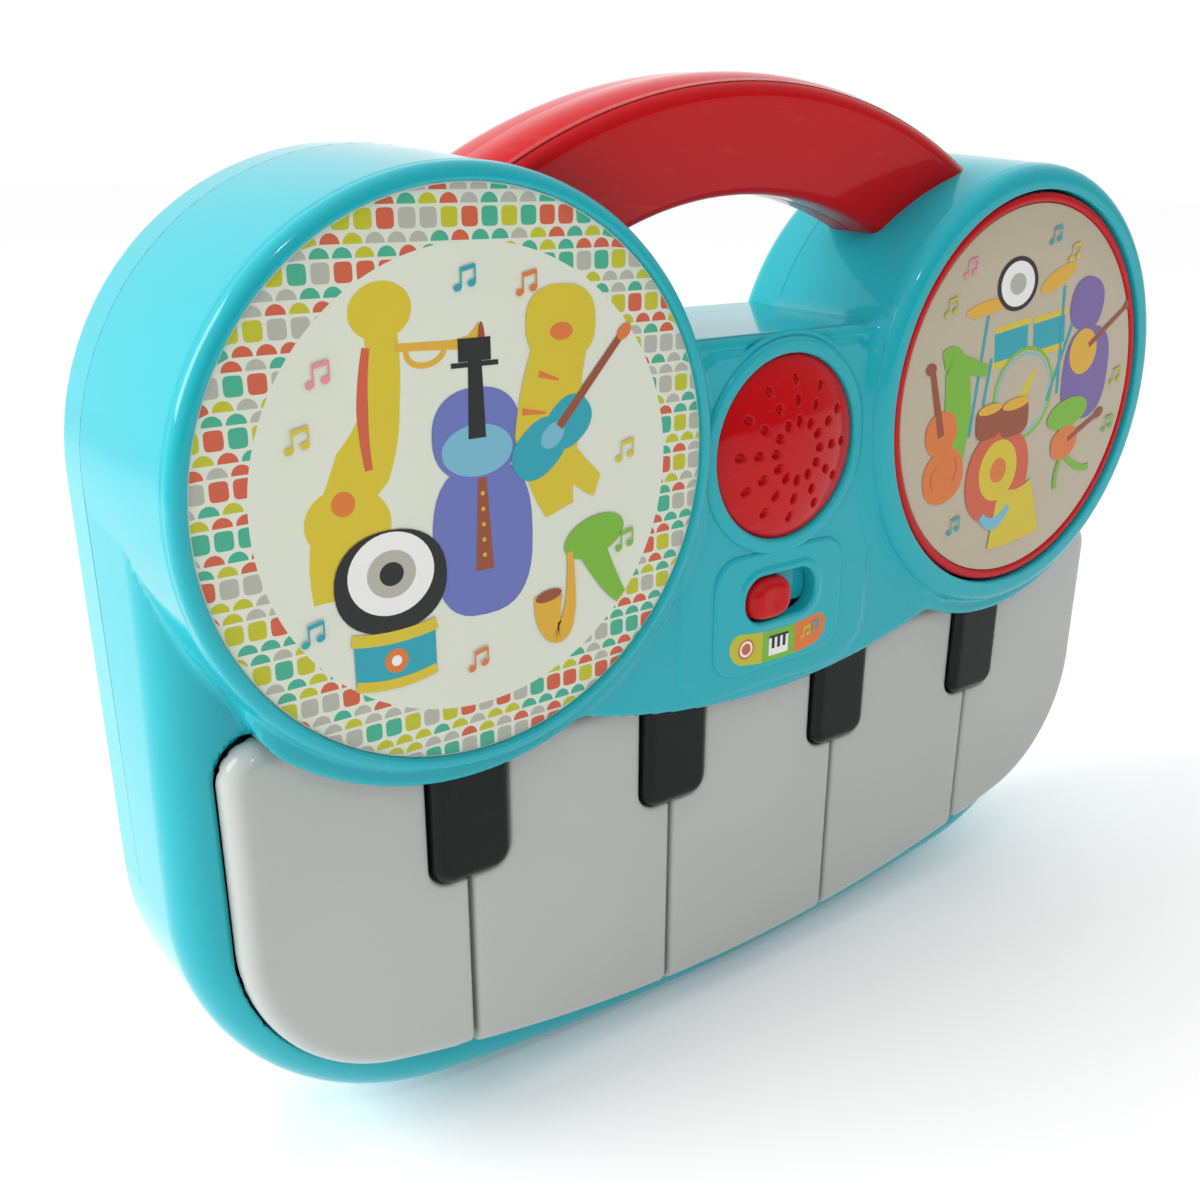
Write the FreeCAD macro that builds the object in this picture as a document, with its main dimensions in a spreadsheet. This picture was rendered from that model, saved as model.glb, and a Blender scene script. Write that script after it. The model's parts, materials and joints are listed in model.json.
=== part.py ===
"""Toy electronic keyboard with two drums, a carrying handle and five white keys.

Frame: +X to the right as the player sees it, +Y to the back, +Z up, millimetres.
The origin is at the centre of the bounding box, on the surface the toy stands on.
"""
import FreeCAD, Part
from Sketcher import Constraint
import math
import os
import re

doc = FreeCAD.newDocument("toy_keyboard")

# ---------------------------------------------------------------- driving sizes
SIZES = {
    # whole toy
    "overall_depth": 70.0,       # front of the drum rims to the back of the rear cover
    "front_depth": 52.0,         # depth of the front shell, up to the parting line
    "wall": 2.5,                 # wall of every moulded shell
    "drum_height": 201.5,        # drum centres above the standing surface
    "drum_offset": 110.0,        # drum centres left and right of the middle
    "drum_radius": 76.0,         # at the front rim
    "drum_rear_radius": 78.5,    # at the parting line, so the side has a draft
    "rim_round": 4.5,
    "back_round": 6.0,
    # keyboard frame below the drums
    "frame_setback": 16.0,       # face of the frame behind the drum rims
    "frame_round": 13.0,
    "corner_radius": 85.0,
    "bottom_radius": 800.0,
    "foot_offset": 80.0,         # feet left and right of the middle
    "foot_width": 16.0,
    "foot_setback": 38.0,
    "foot_depth": 12.0,
    "foot_rise": 6.0,
    # bridge and fascia between the drums
    "bridge_setback": 6.0,
    "bridge_rise": 29.0,         # top of the bridge above the drum centres
    "bridge_half_width": 85.0,
    "fascia_drop": 87.0,         # lowest point of the fascia below the drum centres
    "fascia_radius": 254.0,
    "ledge_radius": 82.0,        # lip round each drum, over the keys
    # printed discs and the pressing drum pad
    "print_thick": 0.8,
    "left_print_radius": 71.7,
    "print_setback": 1.6,
    "pad_radius": 67.3,
    "pad_gap": 0.6,
    "pad_setback": 1.2,
    "pad_ring": 3.3,             # width of the raised ring round the pad's print
    "pad_ring_rise": 0.8,
    "pad_skirt": 9.8,
    "well_floor": 16.0,          # front of the well's floor behind the drum rim
    "pad_board_radius": 44.0,
    "pad_post_circle": 30.0,
    "pad_post_radius": 4.0,
    "pad_leg_circle": 52.0,
    "pad_leg_radius": 3.5,
    "pad_stop_gap": 0.3,
    "dome_rise": 5.0,
    "dome_radius": 6.0,
    # loudspeaker
    "speaker_drop": 5.6,         # loudspeaker centre below the drum centres
    "grille_radius": 28.0,
    "grille_bulge": 5.7,
    "grille_thick": 1.8,
    "grille_gap": 0.3,
    "grille_hole": 1.75,
    "grille_row": 6.0,
    "grille_first_row": 9.0,
    "speaker_ring": 5.2,
    "speaker_ring_rise": 1.2,
    "driver_radius": 27.0,
    "driver_depth": 21.0,
    "magnet_radius": 16.0,
    "magnet_depth": 8.0,
    "clamp_circle": 35.0,
    "clamp_thick": 1.5,
    # mode switch
    "slot_width": 30.0,
    "slot_rise": 15.0,
    "slot_drop": 52.6,           # slot centre below the drum centres
    "knob_width": 18.5,
    "knob_gap": 0.4,
    "knob_stand": 3.0,
    "knob_flange": 1.5,
    "panel_width": 54.6,
    "panel_rise": 39.6,
    "panel_drop": 56.8,
    "panel_stand": 0.8,
    "label_width": 42.0,
    "label_rise": 10.5,
    "label_radius": 90.0,
    "label_drop": 74.5,
    # white keys
    "key_half_width": 181.0,     # outer side of the outer keys from the middle
    "key_corner_radius": 55.0,
    "key_bottom_radius": 430.0,
    "key_bottom": 15.0,          # lowest point of the middle key
    "key_setback": 11.8,
    "key_pitch": 73.5,
    "key_gap": 1.0,
    "key_depth": 12.0,
    "key_wall": 2.2,
    "key_tail_radius": 75.5,
    "outer_key_drop": 59.5,
    # black keys
    "black_width": 25.0,
    "black_setback": 9.2,
    "black_depth": 6.5,
    "black_bottom_drop": 116.0,
    "black_top_drop": 79.0,
    "black_gap": 1.0,
    "stem_side": 9.0,
    "stem_drop": 103.0,
    # key pivot and key board
    "pivot_drop": 80.5,
    "pivot_setback": 20.0,
    "rod_radius": 2.0,
    "pivot_clearance": 0.05,
    "lug_radius": 5.0,
    "lug_offset": 15.0,
    "lug_thick": 5.0,
    "actuator_drop": 59.0,       # actuator posts below the pivot
    "chassis_setback": 32.0,
    "board_thick": 1.6,
    # main board
    "main_board_setback": 20.0,
    "main_board_width": 76.0,
    "main_board_rise": 30.0,
    # handle
    "handle_outer_radius": 184.0,
    "handle_outer_drop": 84.5,   # arc centre below the drum centres
    "handle_inner_radius": 123.0,
    "handle_inner_drop": 57.0,
    "handle_outer_end": 100.0,   # where the outer arc stops, from the middle
    "handle_inner_end": 75.0,
    "handle_setback": 17.0,
    "handle_seam": 36.0,
    "handle_back": 55.0,
    "handle_round": 6.0,
    # battery box
    "battery_height": 85.0,
    "battery_radius": 7.25,
    "battery_length": 50.5,
    "battery_pitch": 15.2,
    "box_half_width": 30.0,
    "box_half_rise": 23.5,
    "box_wall": 3.0,
    "box_depth": 15.6,
    "door_gap": 0.4,
    "door_tab": 9.0,
    # screws
    "screw_radius": 1.5,
    "screw_head_radius": 3.0,
    "screw_head_thick": 2.2,
    "boss_radius": 4.5,
    "tab_radius": 4.0,
    "case_screw_length": 20.0,
    "small_screw_length": 8.0,
}

# Places and sizes that follow from the driving sizes, as formulas.
LINES = {
    "front": "-overall_depth / 2",
    "back": "overall_depth / 2",
    "parting": "front + front_depth",
    "rear_depth": "overall_depth - front_depth",
    "half_width": "drum_offset + drum_rear_radius",
    "frame_face": "front + frame_setback",
    "bridge_face": "front + bridge_setback",
    "bridge_back": "bridge_face + wall",
    "bridge_top": "drum_height + bridge_rise",
    "left_floor": "front + print_setback + print_thick",
    "pad_face": "front + pad_setback",
    "pad_plate": "pad_face + pad_ring_rise",
    "well_face": "front + well_floor",
    "well_back": "well_face + wall",
    "well_radius": "pad_radius + pad_gap",
    "pad_board_face": "well_face - board_thick",
    "pad_stop": "well_back + pad_stop_gap",
    "speaker_height": "drum_height - speaker_drop",
    "driver_face": "bridge_back + grille_thick",
    "clamp_face": "driver_face + 2.5",
    "slot_height": "drum_height - slot_drop",
    "panel_height": "drum_height - panel_drop",
    "panel_face": "bridge_face - panel_stand",
    "opening_top": "drum_height - outer_key_drop + key_gap",
    "key_face": "front + key_setback",
    "key_back": "key_face + key_depth",
    "key_top": "drum_height - key_tail_radius",
    "black_face": "front + black_setback",
    "black_bottom": "drum_height - black_bottom_drop",
    "black_top": "drum_height - black_top_drop",
    "pivot_y": "front + pivot_setback",
    "pivot_height": "drum_height - pivot_drop",
    "chassis_face": "front + chassis_setback",
    "chassis_top": "key_top + lug_radius - key_gap",
    "key_board_face": "chassis_face - board_thick",
    "dome_tip": "key_board_face - dome_rise",
    "main_board_face": "front + main_board_setback",
    "handle_face": "front + handle_setback",
    "handle_split": "front + handle_seam",
    "box_floor": "back - wall - box_depth",
    "screw_seat": "parting + 0.45 * rear_depth",
    "door_seat": "back - screw_head_thick - 0.5",
}

sheet = doc.addObject("Spreadsheet::Sheet", "Sizes")
for row, (alias, size) in enumerate(SIZES.items(), start=1):
    sheet.set(f"A{row}", alias)
    sheet.set(f"B{row}", str(size))
    sheet.setAlias(f"B{row}", alias)
doc.recompute()


def bound(text):
    """Formula text for setExpression, with every name led back to the sheet's cells."""
    def cell(match):
        name = match.group(0)
        if name in LINES:
            return "(" + bound(LINES[name]) + ")"
        return "Sizes." + name if name in SIZES else name
    return re.sub(r"[a-z][a-z_]*", cell, str(text))


# ---------------------------------------------------------------- building blocks
ALONG_X = FreeCAD.Rotation(FreeCAD.Vector(0, 1, 0), 90)
ALONG_Y = FreeCAD.Rotation(FreeCAD.Vector(1, 0, 0), -90)
nodes = []


def place(thing, at):
    """Bind the three coordinates of a thing's place to formulas."""
    for axis, text in zip("xyz", at):
        thing.setExpression("Placement.Base." + axis, bound(text))
    return thing


def box(x_range, y_range, z_range):
    """A box from one formula to another on each axis."""
    thing = doc.addObject("Part::Box", "block")
    for side, (low, high) in zip(("Length", "Width", "Height"), (x_range, y_range, z_range)):
        thing.setExpression(side, bound(f"({high}) - ({low})"))
    return place(thing, (x_range[0], y_range[0], z_range[0]))


def rod(x, y_range, z, radius):
    """A cylinder along Y."""
    thing = doc.addObject("Part::Cylinder", "round")
    thing.Placement.Rotation = ALONG_Y
    thing.setExpression("Radius", bound(radius))
    thing.setExpression("Height", bound(f"({y_range[1]}) - ({y_range[0]})"))
    return place(thing, (x, y_range[0], z))


def cross_rod(x_range, y, z, radius):
    """A cylinder along X."""
    thing = doc.addObject("Part::Cylinder", "cross")
    thing.Placement.Rotation = ALONG_X
    thing.setExpression("Radius", bound(radius))
    thing.setExpression("Height", bound(f"({x_range[1]}) - ({x_range[0]})"))
    return place(thing, (x_range[0], y, z))


def taper(x, y_range, z, radii):
    """A cone along Y from its front radius to its back radius."""
    thing = doc.addObject("Part::Cone", "taper")
    thing.Placement.Rotation = ALONG_Y
    thing.setExpression("Radius1", bound(radii[0]))
    thing.setExpression("Radius2", bound(radii[1]))
    thing.setExpression("Height", bound(f"({y_range[1]}) - ({y_range[0]})"))
    return place(thing, (x, y_range[0], z))


def ball(x, y, z, radius):
    """A sphere."""
    thing = doc.addObject("Part::Sphere", "ball")
    thing.setExpression("Radius", bound(radius))
    return place(thing, (x, y, z))


def join(*things):
    """One solid, or a group of separate ones, from several."""
    if len(things) == 1:
        return things[0]
    result = doc.addObject("Part::MultiFuse", "joined")
    result.Shapes = list(things)
    return result


def cut(base, *tools):
    """The base with every tool's volume taken away."""
    result = doc.addObject("Part::Cut", "cut")
    result.Base = base
    result.Tool = join(*tools)
    return result


def shared(*things):
    """The volume that all the things have in common."""
    result = doc.addObject("Part::MultiCommon", "shared")
    result.Shapes = list(things)
    return result


def edge_names(shape, wanted):
    """Names of the edges that pass a test."""
    return [f"Edge{i}" for i, edge in enumerate(shape.Edges, start=1) if wanted(edge)]


def rounded(base, radius, wanted):
    """The base with one radius on the edges that pass a test."""
    doc.recompute()
    result = doc.addObject("Part::Fillet", "rounded")
    result.Base = base
    size = SIZES[radius]
    result.Edges = [(int(name[4:]), size, size) for name in edge_names(base.Shape, wanted)]
    return result


def node(name, thing):
    """Give a finished sub-part its name."""
    thing.Label = name
    nodes.append(thing)
    return thing


def new_sketch(body, name):
    """A sketch on the body's own XZ plane: its first axis is X, its second is Z."""
    sketch = body.newObject("Sketcher::SketchObject", name)
    plane = [item for item in body.Origin.OriginFeatures if item.Role == "XZ_Plane"][0]
    sketch.AttachmentSupport = [(plane, "")]
    sketch.MapMode = "FlatFace"
    return sketch


def bind(sketch, constraint, text):
    """Add a sized constraint and tie its value to a formula."""
    index = sketch.addConstraint(constraint)
    sketch.setExpression(f"Constraints[{index}]", bound(text))


def pad_back(body, sketch, depth, y):
    """Pad a sketch backwards from the plane y."""
    pad = body.newObject("PartDesign::Pad", "pad")
    pad.Profile = sketch
    pad.Reversed = True
    pad.setExpression("Length", bound(depth))
    place(body, ("0", y, "0"))
    doc.recompute()
    return pad


def round_rim(body, pad, radius, at_y, below):
    """Round the pad's edges that lie in the plane at_y and below a height."""
    def wanted(edge):
        on_face = all(abs(v.Point.y - at_y) < 0.01 for v in edge.Vertexes)
        level_top = edge.BoundBox.ZLength < 0.01 and edge.BoundBox.ZMax > below - 0.01
        return on_face and not level_top
    fillet = body.newObject("PartDesign::Fillet", "rim")
    fillet.Base = (pad, edge_names(pad.Shape, wanted))
    fillet.setExpression("Radius", bound(radius))
    doc.recompute()


# Two outlines share one construction: upright sides, round corners and a wide bottom arc.
FRAME = {"half": "half_width", "corner": "corner_radius", "arc": "bottom_radius", "low": "0"}
KEYS = {"half": "key_half_width", "corner": "key_corner_radius", "arc": "key_bottom_radius",
        "low": "key_bottom"}


def outline_start(outline):
    """Plain numbers of an outline, to draw its sketch before the constraints settle it."""
    half = SIZES.get(outline["half"], SIZES["drum_offset"] + SIZES["drum_rear_radius"])
    return half, SIZES[outline["corner"]], SIZES[outline["arc"]], SIZES.get(outline["low"], 0.0)


def line(start, end):
    """Sketch line between two (across, up) points."""
    return Part.LineSegment(FreeCAD.Vector(*start, 0), FreeCAD.Vector(*end, 0))


def bend(centre, radius, start, end):
    """Sketch arc, anticlockwise from one angle in radians to the other."""
    circle = Part.Circle(FreeCAD.Vector(*centre, 0), FreeCAD.Vector(0, 0, 1), radius)
    return Part.ArcOfCircle(circle, start, end)


def bottom_run(outline, top):
    """Side, corner, bottom arc, corner and side of an outline, as plain starting geometry."""
    half, corner, arc, low = outline_start(outline)
    across = half - corner
    corner_z = low + arc - math.sqrt((arc - corner) ** 2 - across ** 2)
    lean = math.atan2(corner_z - low - arc, across)
    return [line((-half, top), (-half, corner_z)),
            bend((-across, corner_z), corner, math.pi, math.pi - lean),
            bend((0, low + arc), arc, -math.pi - lean, lean),
            bend((across, corner_z), corner, lean, 0.0),
            line((half, corner_z), (half, top))]


def hold_bottom_run(sketch, outline, inset):
    """Constraints that keep the bottom run smooth and give its radii and its height."""
    corner, arc, low = outline_start(outline)[1:]
    for first, second in ((0, 1), (1, 2), (2, 3), (3, 4)):
        sketch.addConstraint(Constraint("Tangent", first, 2, second, 1))
    for kind, *geometry in (("Vertical", 0), ("Vertical", 4), ("PointOnObject", 2, 3, -2),
                            ("Equal", 1, 3)):
        sketch.addConstraint(Constraint(kind, *geometry))
    bind(sketch, Constraint("Radius", 3, corner), f"{outline['corner']} - ({inset})")
    bind(sketch, Constraint("Radius", 2, arc), f"{outline['arc']} - ({inset})")
    bind(sketch, Constraint("DistanceY", -1, 1, 2, 3, low + arc),
         f"{outline['low']} + {outline['arc']}")


def finish_pad(body, sketch, y, depth, rim):
    """Pad a finished sketch and round its front or back rim below the top edge."""
    pad = pad_back(body, sketch, depth, y)
    if rim:
        at_y = 0.0 if rim[1] == "front" else pad.Length.Value
        round_rim(body, pad, rim[0], at_y, pad.Shape.BoundBox.ZMax)
    return body


def outline_pad(name, outline, inset, y, depth, top, rim=None):
    """A pad of one outline, moved inwards by inset, with an optional (radius, "front"/"back")."""
    half = outline_start(outline)[0]
    body = doc.addObject("PartDesign::Body", name)
    sketch = new_sketch(body, name + "_sketch")
    start_top = SIZES["drum_height"]
    sketch.addGeometry(bottom_run(outline, start_top)
                       + [line((half, start_top), (-half, start_top))], False)
    hold_bottom_run(sketch, outline, inset)
    sketch.addConstraint(Constraint("Coincident", 4, 2, 5, 1))
    sketch.addConstraint(Constraint("Coincident", 5, 2, 0, 1))
    sketch.addConstraint(Constraint("Horizontal", 5))
    bind(sketch, Constraint("DistanceX", -1, 1, 4, 1, half), f"{outline['half']} - ({inset})")
    bind(sketch, Constraint("DistanceX", 0, 1, -1, 1, half), f"{outline['half']} - ({inset})")
    bind(sketch, Constraint("DistanceY", -1, 1, 4, 2, start_top), top)
    return finish_pad(body, sketch, y, depth, rim)


def cover_pad(name, inset, y, depth, rim=None):
    """A pad of the whole silhouette: frame below, both drums and the bridge between them."""
    body = doc.addObject("PartDesign::Body", name)
    sketch = new_sketch(body, name + "_sketch")
    height, offset = SIZES["drum_height"], SIZES["drum_offset"]
    radius, rise = SIZES["drum_rear_radius"], SIZES["bridge_rise"]
    lift = math.asin(rise / radius)
    inner = offset - radius * math.cos(lift)
    sketch.addGeometry(bottom_run(FRAME, height)
                       + [bend((offset, height), radius, 0.0, math.pi - lift),
                          line((inner, height + rise), (-inner, height + rise)),
                          bend((-offset, height), radius, lift, math.pi)], False)
    hold_bottom_run(sketch, FRAME, inset)
    sketch.addConstraint(Constraint("Tangent", 4, 2, 5, 1))
    sketch.addConstraint(Constraint("Coincident", 5, 2, 6, 1))
    sketch.addConstraint(Constraint("Coincident", 6, 2, 7, 1))
    sketch.addConstraint(Constraint("Tangent", 7, 2, 0, 1))
    sketch.addConstraint(Constraint("Horizontal", 6))
    sketch.addConstraint(Constraint("Equal", 5, 7))
    bind(sketch, Constraint("Radius", 5, radius), f"drum_rear_radius - ({inset})")
    bind(sketch, Constraint("DistanceX", -1, 1, 5, 3, offset), "drum_offset")
    bind(sketch, Constraint("DistanceX", 7, 3, -1, 1, offset), "drum_offset")
    bind(sketch, Constraint("DistanceY", -1, 1, 5, 3, height), "drum_height")
    bind(sketch, Constraint("DistanceY", -1, 1, 7, 3, height), "drum_height")
    bind(sketch, Constraint("DistanceY", -1, 1, 6, 1, height + rise), f"bridge_top - ({inset})")
    return finish_pad(body, sketch, y, depth, rim)


def arch_pad(name, inset, y, depth, rim=None):
    """A pad of the handle's arch: outer arc, inner arc and the two slanting ends."""
    body = doc.addObject("PartDesign::Body", name)
    sketch = new_sketch(body, name + "_sketch")
    sides = {}
    for side in ("outer", "inner"):
        radius, span = SIZES[f"handle_{side}_radius"], SIZES[f"handle_{side}_end"]
        centre_z = SIZES["drum_height"] - SIZES[f"handle_{side}_drop"]
        sides[side] = (radius, span, centre_z, math.acos(span / radius))
    arcs = [bend((0, z), r, lean, math.pi - lean) for r, span, z, lean in sides.values()]
    ends = [(span, z + r * math.sin(lean)) for r, span, z, lean in sides.values()]
    sketch.addGeometry([arcs[0], line((-ends[0][0], ends[0][1]), (-ends[1][0], ends[1][1])),
                        arcs[1], line(ends[1], ends[0])], False)
    for joint in ((0, 2, 1, 1), (1, 2, 2, 2), (2, 1, 3, 1), (3, 2, 0, 1)):
        sketch.addConstraint(Constraint("Coincident", *joint))
    for arc, side, sign in ((0, "outer", "-"), (2, "inner", "+")):
        radius, span, centre_z = sides[side][:3]
        sketch.addConstraint(Constraint("PointOnObject", arc, 3, -2))
        bind(sketch, Constraint("Radius", arc, radius), f"handle_{side}_radius {sign} ({inset})")
        bind(sketch, Constraint("DistanceY", -1, 1, arc, 3, centre_z),
             f"drum_height - handle_{side}_drop")
        bind(sketch, Constraint("DistanceX", -1, 1, arc, 1, span), f"handle_{side}_end")
        bind(sketch, Constraint("DistanceX", arc, 2, -1, 1, span), f"handle_{side}_end")
    pad = pad_back(body, sketch, depth, y)
    if rim:
        at_y = 0.0 if rim[1] == "front" else pad.Length.Value

        def wanted(edge):
            on_face = all(abs(v.Point.y - at_y) < 0.01 for v in edge.Vertexes)
            return on_face and edge.Curve.TypeId == "Part::GeomCircle"
        fillet = body.newObject("PartDesign::Fillet", "rim")
        fillet.Base = (pad, edge_names(pad.Shape, wanted))
        fillet.setExpression("Radius", bound(rim[0]))
        doc.recompute()
    return body


def drums(build):
    """The same thing built round the left and the right drum centre."""
    return [build("-drum_offset"), build("drum_offset")]


def on_circle(count, radius, start=0.0):
    """Formulas for places spaced evenly on a circle: pairs (across, up)."""
    spots = []
    for k in range(count):
        angle = math.radians(start + 360.0 * k / count)
        spots.append((f"({radius}) * {math.cos(angle):.6f}", f"({radius}) * {math.sin(angle):.6f}"))
    return spots


def screws(spots, y_seat, length, radius="screw_radius", forward=True):
    """Pan-head screws along Y; forward ones point to the front, with their heads behind."""
    solids = []
    for x, z in spots:
        if forward:
            shank = rod(x, (f"{y_seat} - ({length})", y_seat), z, radius)
            head = rod(x, (y_seat, f"{y_seat} + screw_head_thick"), z, f"2 * {radius}")
        else:
            shank = rod(x, (y_seat, f"{y_seat} + {length}"), z, radius)
            head = rod(x, (f"{y_seat} - screw_head_thick", y_seat), z, f"2 * {radius}")
        solids.append(join(shank, head))
    return join(*solids)


# Screw places: pairs of formulas (x, height).
def both_sides(x, z):
    return [(f"-({x})", z), (x, z)]


LINES["corner_x"] = "half_width - 25.5"
LINES["corner_z"] = "42"
CASE_SPOTS = (both_sides("corner_x", "corner_z")
              + both_sides("drum_offset + 50", "drum_height + 33.5")
              + both_sides("drum_offset - 62", "drum_height + 13.5"))
CHASSIS_SPOTS = both_sides("60", "key_bottom - 4.8") + both_sides("55", "chassis_top + 2")
BOARD_SPOTS = [(x, z) for x in ("-32", "32") for z in ("slot_height - 11", "slot_height + 11")]
PAD_LEGS = on_circle(3, "pad_leg_circle", 90)
PAD_POSTS = on_circle(3, "pad_post_circle", 30)
SPEAKER_SPOTS = on_circle(3, "clamp_circle", 30)


def on_drum(spots):
    return [(f"drum_offset + {x}", f"drum_height + {z}") for x, z in spots]


def on_speaker(spots):
    return [(x, f"speaker_height + {z}") for x, z in spots]


# ---------------------------------------------------------------- front shell
def drum_cone(x, inset="0"):
    """Drum side from the rim back to the parting line, with its rounded rim."""
    start = f"front + ({inset})"
    cone = taper(x, (start, "parting"), "drum_height",
                 (f"drum_radius - ({inset})", f"drum_rear_radius - ({inset})"))
    if inset != "0":
        return cone
    at_front = lambda e: len(e.Vertexes) == 1 and abs(e.CenterOfMass.y + SIZES["overall_depth"] / 2) < 0.01
    return rounded(cone, "rim_round", at_front)


def fascia(y_range, inset="0"):
    """Bridge and fascia block: a box whose lower side follows one wide arc."""
    block = box((f"-bridge_half_width + ({inset})", f"bridge_half_width - ({inset})"), y_range,
                ("drum_height - fascia_drop - 5", f"bridge_top - ({inset})"))
    bowl = rod("0", y_range, "drum_height - fascia_drop + fascia_radius", f"fascia_radius - ({inset})")
    return shared(block, bowl)


def ledges(y_range, inset="0"):
    """Lips round the lower part of each drum, over the keys."""
    discs = drums(lambda x: rod(x, y_range, "drum_height", f"ledge_radius - ({inset})"))
    below = box(("-half_width + wall", "half_width - wall"), y_range, ("0", "opening_top + wall"))
    return shared(join(*discs), below)


def skin():
    """Outer shape of the front shell less its hollow."""
    frame = outline_pad("frame_outer", FRAME, "0", "frame_face", "front_depth - frame_setback",
                        "drum_height", ("frame_round", "front"))
    hollow = outline_pad("frame_inner", FRAME, "wall", "frame_face + wall",
                         "front_depth - frame_setback", "drum_height - wall",
                         ("frame_round", "front"))
    outer = join(*drums(drum_cone), frame, ledges(("bridge_face", "frame_face + wall")),
                 fascia(("bridge_face", "parting")))
    cavity = join(hollow,
                  taper("-drum_offset", ("left_floor + wall", "parting + 1"), "drum_height",
                        ("drum_radius - wall", "drum_rear_radius - wall")),
                  taper("drum_offset", ("front - 1", "parting + 1"), "drum_height",
                        ("drum_radius - 2 * wall", "drum_rear_radius - wall")),
                  ledges(("bridge_back", "frame_face + 2 * wall"), "wall"),
                  fascia(("bridge_back", "parting + 1"), "wall"))
    return cut(outer, cavity)


def collar():
    """Wall round the keys, from the frame's face back to the chassis."""
    ring = outline_pad("key_collar", KEYS, "-key_gap - wall", "frame_face + wall / 2",
                       "chassis_setback - frame_setback - wall / 2", "opening_top + wall")
    middle = box(("-drum_offset - boss_radius", "drum_offset + boss_radius"),
                 ("frame_face", "chassis_face + 1"), ("key_top", "bridge_top"))
    return cut(ring, middle)


def key_openings():
    """Room for the keys: the opening seen from the front and the wider room behind the lips."""
    room = outline_pad("key_room", KEYS, "-key_gap", "bridge_back", "chassis_setback",
                       "key_top + lug_radius + key_gap")
    corners = cut(outline_pad("key_corners", KEYS, "-key_gap", "bridge_back", "chassis_setback",
                              "opening_top"),
                  *drums(lambda x: rod(x, ("front - 1", "parting + wall"), "drum_height",
                                       "well_radius + wall + key_gap")),
                  box(("-drum_offset", "drum_offset"), ("front - 1", "parting + wall"),
                      ("key_top", "bridge_top")))
    opening = cut(outline_pad("key_opening", KEYS, "-key_gap", "front - 1",
                              "bridge_setback + wall + 2", "opening_top"),
                  *drums(lambda x: rod(x, ("front - 2", "bridge_back + 2"), "drum_height",
                                       "ledge_radius")),
                  fascia(("front - 2", "bridge_back + 2")))
    return [room, corners, opening]


def shell_bosses():
    """Screw bosses and feet of the front shell."""
    starts = ["frame_face + 8"] * 2 + ["left_floor + 1", "well_back - 1"] * 2
    bosses = [rod(x, (start, "parting"), z, "boss_radius")
              for (x, z), start in zip(CASE_SPOTS, starts)]
    bosses += [rod(x, ("frame_face + 6", "chassis_face"), z, "tab_radius")
               for x, z in CHASSIS_SPOTS[:2]]
    bosses += [rod(x, ("bridge_back - 1", "main_board_face"), z, "2 * screw_radius")
               for x, z in BOARD_SPOTS]
    bosses += [rod(x, ("bridge_back - 1", "clamp_face"), z, "2 * screw_radius")
               for x, z in on_speaker(SPEAKER_SPOTS)]
    feet = [box((f"{side} - foot_width / 2", f"{side} + foot_width / 2"),
                ("front + foot_setback", "front + foot_setback + foot_depth"), ("0", "foot_rise"))
            for side in ("-foot_offset", "foot_offset")]
    return bosses + feet


def drum_well():
    """Cup for the drum pad: guide wall, floor with holes for its legs, and the rim round it."""
    wall_and_floor = cut(
        rod("drum_offset", ("front + rim_round / 2", "well_back"), "drum_height",
            "well_radius + wall"),
        rod("drum_offset", ("front - 1", "well_face"), "drum_height", "well_radius"),
        *[rod(x, ("well_face - 1", "well_back + 1"), z, "pad_leg_radius + pad_gap")
          for x, z in on_drum(PAD_LEGS)])
    rim = cut(drum_cone("drum_offset"),
              rod("drum_offset", ("front - 1", "parting + 1"), "drum_height", "well_radius"),
              box(("0", "drum_offset * 2"), ("front + rim_round + 1", "parting + 1"),
                  ("0", "drum_height * 2")))
    return [wall_and_floor, rim]


def screw_holes():
    """Pilot holes of the front shell."""
    small = "screw_radius * 0.8"
    holes = [rod(x, ("screw_seat - case_screw_length", "parting + 1"), z, "screw_radius")
             for x, z in CASE_SPOTS]
    holes += [rod(x, ("chassis_face - 6", "chassis_face + 1"), z, "screw_radius")
              for x, z in CHASSIS_SPOTS]
    holes += [rod(x, ("main_board_face - 6.4", "main_board_face + 1"), z, small)
              for x, z in BOARD_SPOTS]
    holes += [rod(x, ("clamp_face - 3", "clamp_face + 1"), z, small)
              for x, z in on_speaker(SPEAKER_SPOTS)]
    return holes


def front_shell():
    """Moulded front half of the case."""
    ring = rod("0", ("bridge_face - speaker_ring_rise", "bridge_back"), "speaker_height",
               "grille_radius + grille_gap + speaker_ring")
    panel = box(("-panel_width / 2", "panel_width / 2"), ("panel_face", "bridge_back"),
                ("panel_height - panel_rise / 2", "panel_height + panel_rise / 2"))
    panel = rounded(panel, "rim_round", lambda e: abs(e.tangentAt(e.FirstParameter).y) > 0.99)
    opened = cut(join(skin(), collar(), ring, panel, *shell_bosses()), *key_openings())
    upper_bosses = [rod(x, ("bridge_back - 1", "chassis_face"), z, "tab_radius")
                    for x, z in CHASSIS_SPOTS[2:]]
    body = join(cut(join(opened, *upper_bosses),
                    rod("drum_offset", ("front - 1", "well_back"), "drum_height", "well_radius")),
                *drum_well())
    return cut(body,
               rod("-drum_offset", ("front - 1", "left_floor"), "drum_height", "left_print_radius"),
               rod("0", ("front - 1", "driver_face"), "speaker_height", "grille_radius + grille_gap"),
               box(("-slot_width / 2", "slot_width / 2"), ("front", "bridge_back + 1"),
                   ("slot_height - slot_rise / 2", "slot_height + slot_rise / 2")),
               label("panel_face - 1"), *screw_holes())


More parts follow.
